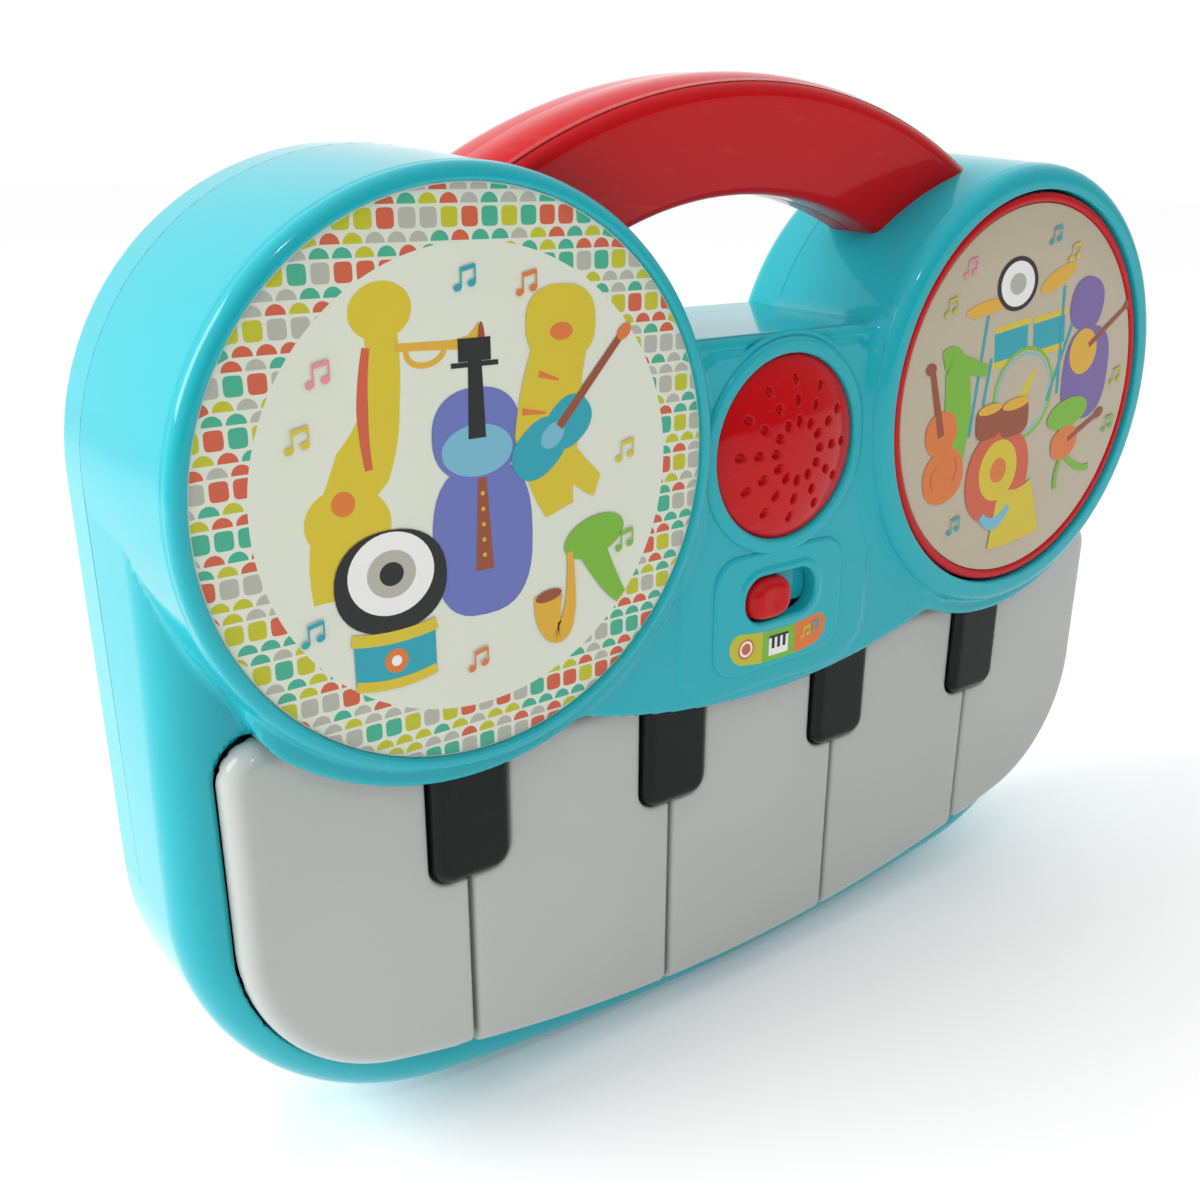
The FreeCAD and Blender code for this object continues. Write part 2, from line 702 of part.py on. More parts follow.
def label(y_front):
    """Smiling label band under the slot, as deep as its recess."""
    low = "drum_height - label_drop + label_radius"
    y_range = (y_front, "panel_face + 0.5")
    band = cut(rod("0", y_range, low, "label_radius"),
               rod("0", (f"{y_front} - 1", "bridge_back"), low, "label_radius - label_rise"))
    return shared(band, box(("-label_width / 2", "label_width / 2"), y_range,
                            ("drum_height - label_drop - 2", f"{low} - label_radius / 2")))


node("front_shell", front_shell())
node("mode_label", label("panel_face"))


# ---------------------------------------------------------------- rear cover
def rear_cover():
    """Moulded back of the case, with battery box, screw wells and feet."""
    outer = cover_pad("rear_outer", "0", "parting", "rear_depth", ("back_round", "back"))
    inner = cover_pad("rear_inner", "wall", "parting - 1", "rear_depth + 1 - wall")
    low, high = "battery_height - box_half_rise", "battery_height + box_half_rise"
    wells = [rod(x, ("parting", "back - wall"), z, "boss_radius + 0.5") for x, z in CASE_SPOTS]
    case = box(("-box_half_width - box_wall", "box_half_width + box_wall"),
               ("box_floor - box_wall", "back - wall / 2"),
               (f"{low} - box_wall", f"{high} + box_wall + door_tab"))
    feet = [box((f"{side} - foot_width / 2", f"{side} + foot_width / 2"),
                ("back - back_round - foot_depth", "back - back_round"), ("0", "foot_rise"))
            for side in ("-foot_offset", "foot_offset")]
    holes = [box(("-box_half_width", "box_half_width"), ("box_floor", "back + 1"), (low, high)),
             box(("-box_half_width - 1.4 - door_gap", "box_half_width + 1.4 + door_gap"),
                 ("back - wall", "back + 1"),
                 (f"{low} - 1.4 - door_gap", f"{high} + door_tab + door_gap")),
             rod("0", ("back - wall - 2", "back"), f"{high} + door_tab / 2",
                 "screw_head_radius + 1 + door_gap"),
             rod("0", ("door_seat - small_screw_length", "back"), f"{high} + door_tab / 2",
                 "screw_radius")]
    holes += [rod(x, ("screw_seat", "back + 1"), z, "screw_head_radius + door_gap")
              for x, z in CASE_SPOTS]
    holes += [rod(x, ("parting - 1", "screw_seat + 1"), z, "screw_radius") for x, z in CASE_SPOTS]
    return cut(join(cut(outer, inner), case, *wells, *feet), *holes)


def battery_door():
    """Flat door over the battery box, held by one screw in its tab."""
    low, high = "battery_height - box_half_rise", "battery_height + box_half_rise"
    screw_z = f"{high} + door_tab / 2"
    plate = box(("-box_half_width - 1.4", "box_half_width + 1.4"), ("back - wall", "back"),
                (f"{low} - 1.4", f"{high} + door_tab"))
    boss = rod("0", ("back - wall - 2", "back - wall / 2"), screw_z, "screw_head_radius + 1")
    return cut(join(plate, boss),
               rod("0", ("back - wall - 3", "back + 1"), screw_z, "screw_radius"),
               rod("0", ("door_seat", "back + 1"), screw_z, "screw_head_radius"))


def battery(count_from_middle):
    """One round cell lying along X, with its raised positive end."""
    z = f"battery_height + ({count_from_middle}) * battery_pitch"
    y = "box_floor + battery_radius + 0.2"
    can = cross_rod(("-battery_length / 2", "battery_length / 2 - 1.2"), y, z, "battery_radius")
    return join(can, cross_rod(("battery_length / 2 - 1.2", "battery_length / 2"), y, z, "2.7"))


def battery_contacts():
    """Flat plates at one end of the box and cone springs at the other, for each cell."""
    metal = []
    y = "box_floor + battery_radius + 0.2"
    for k in (-1, 0, 1):
        z = f"battery_height + ({k}) * battery_pitch"
        for side in ("-box_half_width", "box_half_width - 0.5"):
            metal.append(box((side, f"{side} + 0.5"), (f"{y} - 5", f"{y} + 5"), (f"{z} - 5", f"{z} + 5")))
        spring = doc.addObject("Part::Cone", "spring")
        spring.Placement.Rotation = ALONG_X
        spring.setExpression("Radius1", bound("4.2"))
        spring.setExpression("Radius2", bound("2.6"))
        spring.setExpression("Height", bound("box_half_width - battery_length / 2 - 0.5"))
        metal.append(place(spring, ("-box_half_width + 0.5", y, z)))
        metal.append(cross_rod(("battery_length / 2", "box_half_width - 0.5"), y, z, "2.5"))
    return join(*metal)


node("rear_cover", rear_cover())
node("battery_door", battery_door())
node("battery_door_screw", screws([("0", "battery_height + box_half_rise + door_tab / 2")],
                                  "door_seat", "small_screw_length"))
for number in (1, 2, 3):
    node(f"battery_{number}", battery(number - 2))
node("battery_contacts", battery_contacts())
node("case_screws", screws(CASE_SPOTS, "screw_seat", "case_screw_length"))


# ---------------------------------------------------------------- handle
HANDLE_SPOTS = [(x, z) for x, z in (("-38", "drum_height + 75.5"), ("38", "drum_height + 75.5"))]


def handle_half(which):
    """One hollow moulded half of the arch, cut to sit on the drum sides."""
    y_range = ("handle_face", "handle_split") if which == "front" else ("handle_split",
                                                                       "front + handle_back")
    depth = f"{y_range[1]} - ({y_range[0]})"
    outer = arch_pad(f"arch_{which}", "0", y_range[0], depth, ("handle_round", which))
    room_start = "handle_face + wall" if which == "front" else "handle_split"
    room = arch_pad(f"arch_{which}_room", "wall", room_start, f"{depth} - wall")
    bosses = [rod(x, y_range, z, "boss_radius") for x, z in HANDLE_SPOTS]
    shell = cut(outer, cut(room, *bosses))
    if which == "front":
        holes = [rod(x, ("handle_split - 10", "handle_split + 1"), z, "screw_radius")
                 for x, z in HANDLE_SPOTS]
    else:
        holes = [rod(x, ("handle_split - 1", "front + handle_back + 1"), z, "screw_radius")
                 for x, z in HANDLE_SPOTS]
        holes += [rod(x, ("handle_split + 6", "front + handle_back + 1"), z,
                      "screw_head_radius + door_gap") for x, z in HANDLE_SPOTS]
    cones = drums(lambda x: taper(x, ("front", "parting"), "drum_height",
                                  ("drum_radius", "drum_rear_radius")))
    cans = drums(lambda x: rod(x, ("parting - 1", "back + 1"), "drum_height", "drum_rear_radius"))
    return cut(shell, *cones, *cans, *holes)


node("handle_front", handle_half("front"))
node("handle_rear", handle_half("rear"))
node("handle_screws", screws(HANDLE_SPOTS, "handle_split + 6", "case_screw_length - 6"))


# ---------------------------------------------------------------- printed disc and drum pad
def drum_pad():
    """Pressing cup with a raised ring, three posts for the domes and three guide legs."""
    cup = rod("drum_offset", ("pad_face", "pad_plate + pad_skirt"), "drum_height", "pad_radius")
    recess = rod("drum_offset", ("pad_face - 1", "pad_plate"), "drum_height", "pad_radius - pad_ring")
    room = rod("drum_offset", ("pad_plate + wall", "pad_plate + pad_skirt + 1"), "drum_height",
               "pad_radius - wall")
    posts = [rod(x, ("pad_plate + wall - 0.5", "pad_board_face - dome_rise"), z, "pad_post_radius")
             for x, z in on_drum(PAD_POSTS)]
    legs = [rod(x, ("pad_plate + wall - 0.5", "pad_stop"), z, "pad_leg_radius")
            for x, z in on_drum(PAD_LEGS)]
    pilots = [rod(x, ("pad_stop - small_screw_length", "pad_stop + 1"), z, "screw_radius")
              for x, z in on_drum(PAD_LEGS)]
    return cut(join(cut(cup, recess, room), *posts, *legs), *pilots)


node("left_drum_print", rod("-drum_offset", ("front + print_setback", "left_floor"), "drum_height",
                            "left_print_radius"))
node("right_drum_pad", drum_pad())
node("right_drum_print", rod("drum_offset", ("pad_plate - print_thick / 2", "pad_plate"),
                             "drum_height", "pad_radius - pad_ring"))
node("pad_screws", join(*[join(
    rod(x, ("pad_stop - small_screw_length", "pad_stop"), z, "screw_radius"),
    rod(x, ("pad_stop", "pad_stop + screw_head_thick"), z, "pad_leg_radius + 2.5"))
    for x, z in on_drum(PAD_LEGS)]))
node("pad_board", rod("drum_offset", ("pad_board_face", "well_face"), "drum_height",
                      "pad_board_radius"))
node("pad_domes", join(*[taper(x, ("pad_board_face - dome_rise", "pad_board_face"), z,
                               ("pad_post_radius", "dome_radius")) for x, z in on_drum(PAD_POSTS)]))


# ---------------------------------------------------------------- loudspeaker
def speaker_grille():
    """Domed grille with twelve spokes of three holes, held by a flange behind the fascia."""
    swell = "((grille_radius ^ 2 + grille_bulge ^ 2) / (2 * grille_bulge))"
    centre = f"bridge_face - grille_bulge + {swell}"
    cap = shared(ball("0", centre, "speaker_height", swell),
                 rod("0", ("front - 5", "driver_face"), "speaker_height", "grille_radius"))
    room = shared(ball("0", centre, "speaker_height", f"{swell} - grille_thick"),
                  rod("0", ("front - 5", "driver_face + 1"), "speaker_height",
                      "grille_radius - grille_thick"))
    flange = cut(rod("0", ("bridge_back", "driver_face"), "speaker_height", "grille_radius + 3.5"),
                 rod("0", ("bridge_back - 1", "driver_face + 1"), "speaker_height",
                     "grille_radius - grille_thick"))
    holes = []
    for ring in range(3):
        for x, z in on_circle(12, f"grille_first_row + {ring} * grille_row"):
            holes.append(rod(x, ("front - 5", "driver_face"), f"speaker_height + {z}", "grille_hole"))
    return cut(join(cut(cap, room), flange), *holes)


def driver_basket():
    """Loudspeaker frame: flange, hollow cone frame and magnet."""
    flange = rod("0", ("driver_face", "driver_face + 2.5"), "speaker_height", "driver_radius")
    frame = taper("0", ("driver_face + 2.4", "driver_face + driver_depth - magnet_depth"),
                  "speaker_height", ("driver_radius - 2", "magnet_radius"))
    room = taper("0", ("driver_face - 0.1", "driver_face + driver_depth - magnet_depth - 2"),
                 "speaker_height", ("driver_radius - 3", "magnet_radius - 5"))
    magnet = rod("0", ("driver_face + driver_depth - magnet_depth", "driver_face + driver_depth"),
                 "speaker_height", "magnet_radius")
    return join(cut(join(flange, frame), room), magnet)


def driver_cone():
    """Paper cone inside the frame, its rim on the frame's inner wall."""
    y_range = ("driver_face + 0.6", "driver_face + driver_depth - magnet_depth - 4")
    outer = taper("0", y_range, "speaker_height", ("driver_radius - 4", "magnet_radius - 6"))
    inner = taper("0", (y_range[0] + " - 0.5", y_range[1] + " - 0.8"), "speaker_height",
                  ("driver_radius - 4.6", "magnet_radius - 7"))
    return cut(outer, inner)


def speaker_clamp():
    """Ring with three ears that holds the loudspeaker against the grille."""
    y_range = ("clamp_face", "clamp_face + clamp_thick")
    ears = [rod(x, y_range, z, "tab_radius") for x, z in on_speaker(SPEAKER_SPOTS)]
    holes = [rod(x, ("driver_face", "driver_face + 6"), z, "screw_radius * 0.8")
             for x, z in on_speaker(SPEAKER_SPOTS)]
    ring = rod("0", y_range, "speaker_height", "clamp_circle - 3.5")
    mouth = rod("0", ("driver_face + 2", "driver_face + 5"), "speaker_height", "driver_radius - 1.5")
    return cut(join(ring, *ears), mouth, *holes)


node("speaker_grille", speaker_grille())
node("speaker_basket", driver_basket())
node("speaker_cone", driver_cone())
node("speaker_clamp", speaker_clamp())
node("speaker_screws", screws(on_speaker(SPEAKER_SPOTS), "clamp_face + clamp_thick", "4",
                              "screw_radius * 0.8"))


# ---------------------------------------------------------------- white keys
def key_middle(number):
    return f"({number - 3} * key_pitch)"


def boundaries(number):
    """Black-key places at the sides of one white key."""
    return [k for k in (number - 3.5, number - 2.5) if abs(k) < 2]


def key_block(number, inset, y, depth, name):
    """Outline of one white key, moved inwards by inset, with its black-key notches."""
    middle = key_middle(number)
    low_x, high_x = f"{middle} - key_pitch / 2", f"{middle} + key_pitch / 2"
    if number == 1:
        low_x = "-key_half_width - 5"
    if number == 5:
        high_x = "key_half_width + 5"
    outer_key = number in (1, 5)
    top = "drum_height - outer_key_drop" if outer_key else "key_top"
    column = box((f"{low_x} + key_gap / 2 + ({inset})", f"{high_x} - key_gap / 2 - ({inset})"),
                 (y, f"{y} + {depth}"), ("0", f"{top} - ({inset})"))
    outline = outline_pad(name, KEYS, inset, y, depth, "drum_height")
    notches = []
    for k in boundaries(number):
        half = f"(black_width / 2 + black_gap + ({inset}))"
        notches.append(box((f"{k} * key_pitch - {half}", f"{k} * key_pitch + {half}"),
                           (f"{y} - 1", f"{y} + {depth} + 1"),
                           (f"black_bottom - black_gap - ({inset})", "drum_height")))
    if outer_key:
        side = "-drum_offset" if number == 1 else "drum_offset"
        notches.append(rod(side, (f"{y} - 1", f"{y} + {depth} + 1"), "drum_height",
                           f"key_tail_radius + ({inset})"))
    block = shared(column, outline)
    return cut(block, *notches) if notches else block


def white_key(number):
    """Hollow key that hangs from the pivot rod by lugs at its top."""
    skin = key_block(number, "0", "key_face", "key_depth", f"key_{number}_outer")
    room = key_block(number, "key_wall", "key_face + key_wall", "key_depth", f"key_{number}_room")
    middle = key_middle(number)
    lugs = []
    for side in ("- lug_offset", "+ lug_offset"):
        x_range = (f"{middle} {side} - lug_thick / 2", f"{middle} {side} + lug_thick / 2")
        lugs.append(cross_rod(x_range, "pivot_y", "pivot_height", "lug_radius"))
        lugs.append(box(x_range, ("key_face + key_wall - 0.5", "pivot_y"),
                        ("pivot_height - lug_radius", "pivot_height + lug_radius - 0.4")))
    post = rod(middle, ("key_face + key_wall - 0.5", "dome_tip"), "pivot_height - actuator_drop",
               "pad_post_radius")
    bore = cross_rod(("-key_half_width", "key_half_width"), "pivot_y", "pivot_height",
                     "rod_radius + pivot_clearance")
    return cut(join(cut(skin, room), *lugs, post), bore)


def key_dome(number):
    """Rubber return dome on the key board behind a key's post."""
    return taper(key_middle(number), ("dome_tip", "key_board_face"), "pivot_height - actuator_drop",
                 ("pad_post_radius", "dome_radius"))


for number in range(1, 6):
    node(f"white_key_{number}", white_key(number))
for number in range(1, 6):
    node(f"key_dome_{number}", key_dome(number))


# ---------------------------------------------------------------- black keys
BLACK_PLACES = [f"({k} * key_pitch)" for k in (-1.5, -0.5, 0.5, 1.5)]


def black_key(x):
    """Fixed hollow cap with a square stem back to the chassis."""
    cap = box((f"{x} - black_width / 2", f"{x} + black_width / 2"),
              ("black_face", "black_face + black_depth"), ("black_bottom", "black_top"))
    at_front = lambda e: (e.CenterOfMass.y < SIZES["black_setback"] - SIZES["overall_depth"] / 2 + 0.01
                          and e.CenterOfMass.z < SIZES["drum_height"] - SIZES["black_top_drop"] - 0.01)
    cap = rounded(cap, "black_gap", at_front)
    room = box((f"{x} - black_width / 2 + key_wall", f"{x} + black_width / 2 - key_wall"),
               ("black_face + key_wall", "black_face + black_depth + 1"),
               ("black_bottom + key_wall", "black_top - key_wall"))
    stem = box((f"{x} - stem_side / 2", f"{x} + stem_side / 2"),
               ("black_face + key_wall - 0.5", "key_board_face"),
               ("drum_height - stem_drop - stem_side / 2", "drum_height - stem_drop + stem_side / 2"))
    pilot = rod(x, ("key_board_face - small_screw_length + 4", "key_board_face + 1"),
                "drum_height - stem_drop", "screw_radius")
    return cut(join(cut(cap, room), stem), pilot)


for number, x in enumerate(BLACK_PLACES, start=1):
    node(f"black_key_{number}", black_key(x))
BLACK_SPOTS = [(x, "drum_height - stem_drop") for x in BLACK_PLACES]
node("black_key_screws", screws(BLACK_SPOTS, "chassis_face + wall", "small_screw_length"))


# ---------------------------------------------------------------- pivot, key board and chassis
def key_chassis():
    """Plate behind the keys, with ears forward to the pivot rod and tabs for its screws."""
    plate = outline_pad("chassis_plate", KEYS, "-key_gap - 0.5", "chassis_face", "wall",
                        "chassis_top")
    ears = []
    for x in BLACK_PLACES + ["(-key_half_width + 9)", "(key_half_width - 9)"]:
        ears.append(box((f"{x} - 2", f"{x} + 2"), ("pivot_y - 3.4", "chassis_face + wall"),
                        ("pivot_height - 3.5", "pivot_height + 4")))
    tabs = [rod(x, ("chassis_face", "chassis_face + wall"), z, "tab_radius")
            for x, z in CHASSIS_SPOTS]
    tabs += [box((f"{x} - 3", f"{x} + 3"), ("chassis_face", "chassis_face + wall"),
                 (z, f"{z} + 3 * tab_radius")) for x, z in CHASSIS_SPOTS[:2]]
    holes = [rod(x, ("chassis_face - 1", "chassis_face + wall + 1"), z, "screw_radius")
             for x, z in CHASSIS_SPOTS + BLACK_SPOTS]
    bore = cross_rod(("-key_half_width", "key_half_width"), "pivot_y", "pivot_height", "rod_radius")
    return cut(join(plate, *ears, *tabs), bore, *holes)


def key_board():
    """Long circuit board under the domes, clear of the pivot ears."""
    board = box(("-key_half_width + 17", "key_half_width - 17"), ("key_board_face", "chassis_face"),
                ("pivot_height - actuator_drop - 10", "drum_height - stem_drop + stem_side"))
    return cut(board, *[rod(x, ("key_board_face - 1", "chassis_face + 1"), z, "screw_radius")
                        for x, z in BLACK_SPOTS])


node("pivot_rod", cross_rod(("-key_half_width + 6", "key_half_width - 6"), "pivot_y", "pivot_height",
                            "rod_radius"))
node("key_board", key_board())
node("key_chassis", key_chassis())
node("chassis_screws", screws(CHASSIS_SPOTS, "chassis_face + wall", "small_screw_length"))


# ---------------------------------------------------------------- main board and mode switch
def main_board():
    """Circuit board behind the mode switch."""
    half = "main_board_width / 2"
    board = box((f"-{half}", half), ("main_board_face", "main_board_face + board_thick"),
                ("slot_height - main_board_rise / 2", "slot_height + main_board_rise / 2"))
    return cut(board, *[rod(x, ("main_board_face - 1", "main_board_face + 3"), z,
                            "screw_radius * 0.8") for x, z in BOARD_SPOTS])


LINES["knob_x"] = "-slot_width / 2 + knob_gap + knob_width / 2"
LINES["lever_tip"] = "main_board_face - 8"


def switch_knob():
    """Sliding knob: front block through the slot, with a flange and a fork behind the fascia."""
    half = "knob_width / 2"
    rise = "(slot_rise / 2 - knob_gap)"
    front = box((f"knob_x - {half}", f"knob_x + {half}"), ("bridge_face - knob_stand",
                "bridge_back + knob_gap"), (f"slot_height - {rise}", f"slot_height + {rise}"))
    face_y = SIZES["bridge_setback"] - SIZES["knob_stand"] - SIZES["overall_depth"] / 2
    front = rounded(front, "knob_gap", lambda e: abs(e.CenterOfMass.y - face_y) < 0.01)
    flange = box((f"knob_x - {half}", f"knob_x + {half}"),
                 ("bridge_back + knob_gap", "bridge_back + knob_gap + 1.4"),
                 (f"slot_height - slot_rise / 2 - knob_flange",
                  f"slot_height + slot_rise / 2 + knob_flange"))
    fork = box(("knob_x - 4", "knob_x + 4"), ("bridge_back + knob_gap + 1", "lever_tip + 3"),
               ("slot_height - 3.5", "slot_height + 3.5"))
    pocket = box(("knob_x - 1.5", "knob_x + 1.5"), ("lever_tip", "lever_tip + 4"),
                 ("slot_height - 1.5", "slot_height + 1.5"))
    return cut(join(front, flange, fork), pocket)


def slide_switch():
    """Switch body on the main board, with a channel for its lever."""
    shell = box(("-13", "13"), ("main_board_face - 4.5", "main_board_face"),
                ("slot_height - 3.5", "slot_height + 3.5"))
    channel = box(("-8", "8"), ("main_board_face - 5", "main_board_face - 1.5"),
                  ("slot_height - 1.8", "slot_height + 1.8"))
    return cut(shell, channel)


node("main_board", main_board())
node("sound_chip", rod("12", ("main_board_face + board_thick", "main_board_face + board_thick + 1.5"),
                       "slot_height", "7"))
node("board_screws", screws(BOARD_SPOTS, "main_board_face + board_thick", "6", "screw_radius * 0.8"))
node("slide_switch", slide_switch())
node("switch_lever", box(("knob_x - 1.5", "knob_x + 1.5"), ("lever_tip", "main_board_face - 1.8"),
                         ("slot_height - 1.5", "slot_height + 1.5")))
node("switch_knob", switch_knob())


# ---------------------------------------------------------------- check and write
doc.recompute()
for thing in doc.Objects:
    for state in ("Invalid", "Error"):
        if state in thing.State:
            raise RuntimeError(f"{thing.Label} is {state}")
for thing in nodes:
    if thing.Shape.isNull() or not thing.Shape.isValid() or not thing.Shape.Solids:
        raise RuntimeError(f"{thing.Label} has no valid solid")

os.makedirs("parts", exist_ok=True)
for thing in nodes:
    thing.Shape.exportStep(f"parts/{thing.Label}.step")
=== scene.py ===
# %% [markdown]
# # A toy keyboard with two drums
# The toy is moulded in gloss plastic: a teal case in two halves, a red handle, a red domed
# grille, milky white keys, black caps and two printed discs. The frame holds every part that
# moves; this file gives the outside its soft moulded shapes and its finishes.
# Shapes are worked out in millimetres and turned into metres when a piece is made.

# %% Load the frame
import json
import math
import bpy
import numpy as np
from mathutils import Matrix, Vector


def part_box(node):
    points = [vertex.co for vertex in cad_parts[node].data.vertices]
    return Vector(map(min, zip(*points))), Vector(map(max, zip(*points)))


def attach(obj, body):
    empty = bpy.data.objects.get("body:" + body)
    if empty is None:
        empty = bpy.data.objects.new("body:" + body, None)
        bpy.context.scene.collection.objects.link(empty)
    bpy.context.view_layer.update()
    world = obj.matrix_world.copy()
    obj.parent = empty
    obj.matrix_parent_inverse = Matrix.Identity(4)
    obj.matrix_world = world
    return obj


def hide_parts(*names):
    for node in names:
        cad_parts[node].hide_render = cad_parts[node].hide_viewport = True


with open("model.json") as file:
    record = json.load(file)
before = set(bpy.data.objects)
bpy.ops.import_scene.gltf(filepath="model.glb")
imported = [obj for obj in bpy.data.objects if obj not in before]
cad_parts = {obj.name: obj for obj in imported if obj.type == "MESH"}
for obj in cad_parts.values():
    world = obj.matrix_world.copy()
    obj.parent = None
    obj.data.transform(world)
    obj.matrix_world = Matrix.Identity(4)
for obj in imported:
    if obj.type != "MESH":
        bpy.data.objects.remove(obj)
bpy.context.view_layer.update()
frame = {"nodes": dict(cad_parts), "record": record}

# %% [markdown]
# ## Places read from the frame
# The frame says where its nodes are, so most sizes that the shapes share come from its boxes.
# The few that no box gives, such as the set-back of a face, are plain millimetres.

# %% Shared places
MM = 1000.0


def span(node, axis):
    """Lowest and highest place of a frame node on one axis, in millimetres."""
    low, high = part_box(node)
    return low[axis] * MM, high[axis] * MM


FRONT = span("front_shell", 1)[0]
PARTING = span("front_shell", 1)[1]
HALF_WIDTH = span("front_shell", 0)[1]
DRUM_X = sum(span("right_drum_print", 0)) / 2
DRUM_Z = sum(span("right_drum_print", 2)) / 2
DRUM_FRONT_RADIUS = 76.0
DRUM_BACK_RADIUS = HALF_WIDTH - DRUM_X
LEFT_PRINT = (span("left_drum_print", 0)[1] - span("left_drum_print", 0)[0]) / 2
RIGHT_PRINT = (span("right_drum_print", 0)[1] - span("right_drum_print", 0)[0]) / 2
PAD_RADIUS = (span("right_drum_pad", 0)[1] - span("right_drum_pad", 0)[0]) / 2
FASCIA_FACE = FRONT + 6.0
FRAME_FACE = FRONT + 16.0
KEY_FACE = span("white_key_3", 1)[0]
KEY_HALF = span("white_key_5", 0)[1]
SPEAKER_Z = sum(span("speaker_grille", 2)) / 2
GRILLE_RADIUS = 28.0
SLOT_Z = sum(span("switch_knob", 2)) / 2
PANEL_Z = SLOT_Z - 4.2
BLACK_X = [sum(span(f"black_key_{n}", 0)) / 2 for n in (1, 2, 3, 4)]
KEY_PITCH = BLACK_X[1] - BLACK_X[0]
BLACK_LOW = span("black_key_1", 2)[0]
BLACK_FACE = span("black_key_1", 1)[0]
print("drums at", round(DRUM_X, 1), round(DRUM_Z, 1), "speaker", round(SPEAKER_Z, 1),
      "slot", round(SLOT_Z, 1), "keys", round(KEY_HALF, 1), round(KEY_FACE, 1))

# %% [markdown]
# ## Camera
# The camera looks down from the player's left. Its direction is built from a heading, a dip
# and a small roll, because those three numbers can be read and changed one at a time.


# %% Camera
def add_camera(place, heading, dip, roll, lens, shift):
    """Looks along (sin h cos d, cos h cos d, -sin d), then rolls about that line."""
    h, d, r = (math.radians(a) for a in (heading, dip, roll))
    ahead = Vector((math.sin(h) * math.cos(d), math.cos(h) * math.cos(d), -math.sin(d)))
    right = Vector((math.cos(h), -math.sin(h), 0))
    up = right.cross(ahead)
    across = right * math.cos(r) + up * math.sin(r)
    upward = up * math.cos(r) - right * math.sin(r)
    camera = bpy.data.objects.new("camera", bpy.data.cameras.new("camera"))
    bpy.context.scene.collection.objects.link(camera)
    turn = Matrix((across, upward, -ahead)).transposed()
    camera.matrix_world = Matrix.Translation(place) @ turn.to_4x4()
    camera.data.lens = lens
    camera.data.shift_x, camera.data.shift_y = shift
    camera.data.clip_start, camera.data.clip_end = 0.01, 20
    bpy.context.scene.camera = camera
    return camera


camera = add_camera(place=(-0.2706, FRONT / MM - 0.2692, DRUM_Z / MM + 0.0839), heading=40.34,
                    dip=20.88, roll=1.53, lens=38.8, shift=(-0.0742, 0.0182))
print("camera at", [round(c, 3) for c in camera.location])

# %% [markdown]
# ## Floor and light
# A plain pale floor, a surround that is bright behind the toy and dim in front of it, and one
# big soft lamp high on the left and a little behind. The left sides shine and the front stays
# in soft shade. A small lamp gives the gloss its sharp dots.

# %% Floor and light
STAGE_WHITE = (0.93, 0.93, 0.93)
STAGE_GLOW = 0.12
BRIGHT_SIDE = (-0.1, 0.7, 0.45)
DIM, BRIGHT = 0.03, 1.06


def area_lamp(name, place, target, size, power):
    """A square soft lamp at a place, aimed at a target."""
    lamp = bpy.data.objects.new(name, bpy.data.lights.new(name, "AREA"))
    bpy.context.scene.collection.objects.link(lamp)
    lamp.location = place
    lamp.rotation_mode = "QUATERNION"
    lamp.rotation_quaternion = (Vector(target) - Vector(place)).to_track_quat("-Z", "Y")
    lamp.data.shape = "SQUARE"
    lamp.data.size = size
    lamp.data.energy = power


def surround():
    """Brightness by direction: dim ahead of the toy's front, bright behind and above. Seen
    directly, as the backdrop, it is white all round."""
    world = bpy.data.worlds.new("studio")
    bpy.context.scene.world = world
    world.use_nodes = True
    nodes, links = world.node_tree.nodes, world.node_tree.links
    coords = nodes.new("ShaderNodeTexCoord")
    lean = nodes.new("ShaderNodeVectorMath")
    lean.operation = "DOT_PRODUCT"
    lean.inputs[1].default_value = BRIGHT_SIDE
    ramp = nodes.new("ShaderNodeMapRange")
    ramp.inputs["From Min"].default_value = -0.7
    ramp.inputs["From Max"].default_value = 0.25
    ramp.inputs["To Min"].default_value = DIM
    ramp.inputs["To Max"].default_value = BRIGHT
    links.new(coords.outputs["Generated"], lean.inputs[0])
    links.new(lean.outputs["Value"], ramp.inputs["Value"])
    nodes["Background"].inputs["Color"].default_value = (1, 1, 1, 1)
    backdrop, brighter = nodes.new("ShaderNodeLightPath"), nodes.new("ShaderNodeMath")
    brighter.operation = "MAXIMUM"
    links.new(backdrop.outputs["Is Camera Ray"], brighter.inputs[0])
    links.new(ramp.outputs["Result"], brighter.inputs[1])
    links.new(brighter.outputs["Value"], nodes["Background"].inputs["Strength"])


def add_stage():
    """Square floor under the toy, in a pale matt paint that glows a little like a lightbox."""
    reach = 6.0
    mesh = bpy.data.meshes.new("floor")
    mesh.from_pydata([(-reach, -reach, 0), (reach, -reach, 0), (reach, reach, 0),
                      (-reach, reach, 0)], [], [(0, 1, 2, 3)])
    floor = bpy.data.objects.new("floor", mesh)
    bpy.context.scene.collection.objects.link(floor)
    paint = bpy.data.materials.new("floor_paint")
    paint.use_nodes = True
    shader = paint.node_tree.nodes["Principled BSDF"]
    shader.inputs["Base Color"].default_value = (*STAGE_WHITE, 1)
    shader.inputs["Roughness"].default_value = 0.9
    shader.inputs["Emission Color"].default_value = (1, 1, 1, 1)
    shader.inputs["Emission Strength"].default_value = STAGE_GLOW
    mesh.materials.append(paint)


add_stage()
surround()
middle = (0, 0, 0.16)
area_lamp("main", (-1.3, 0.5, 0.9), middle, 0.8, 16)
area_lamp("spark", (-0.5, -1.0, 1.3), middle, 0.1, 1.6)
bpy.context.scene.view_settings.view_transform = "Standard"

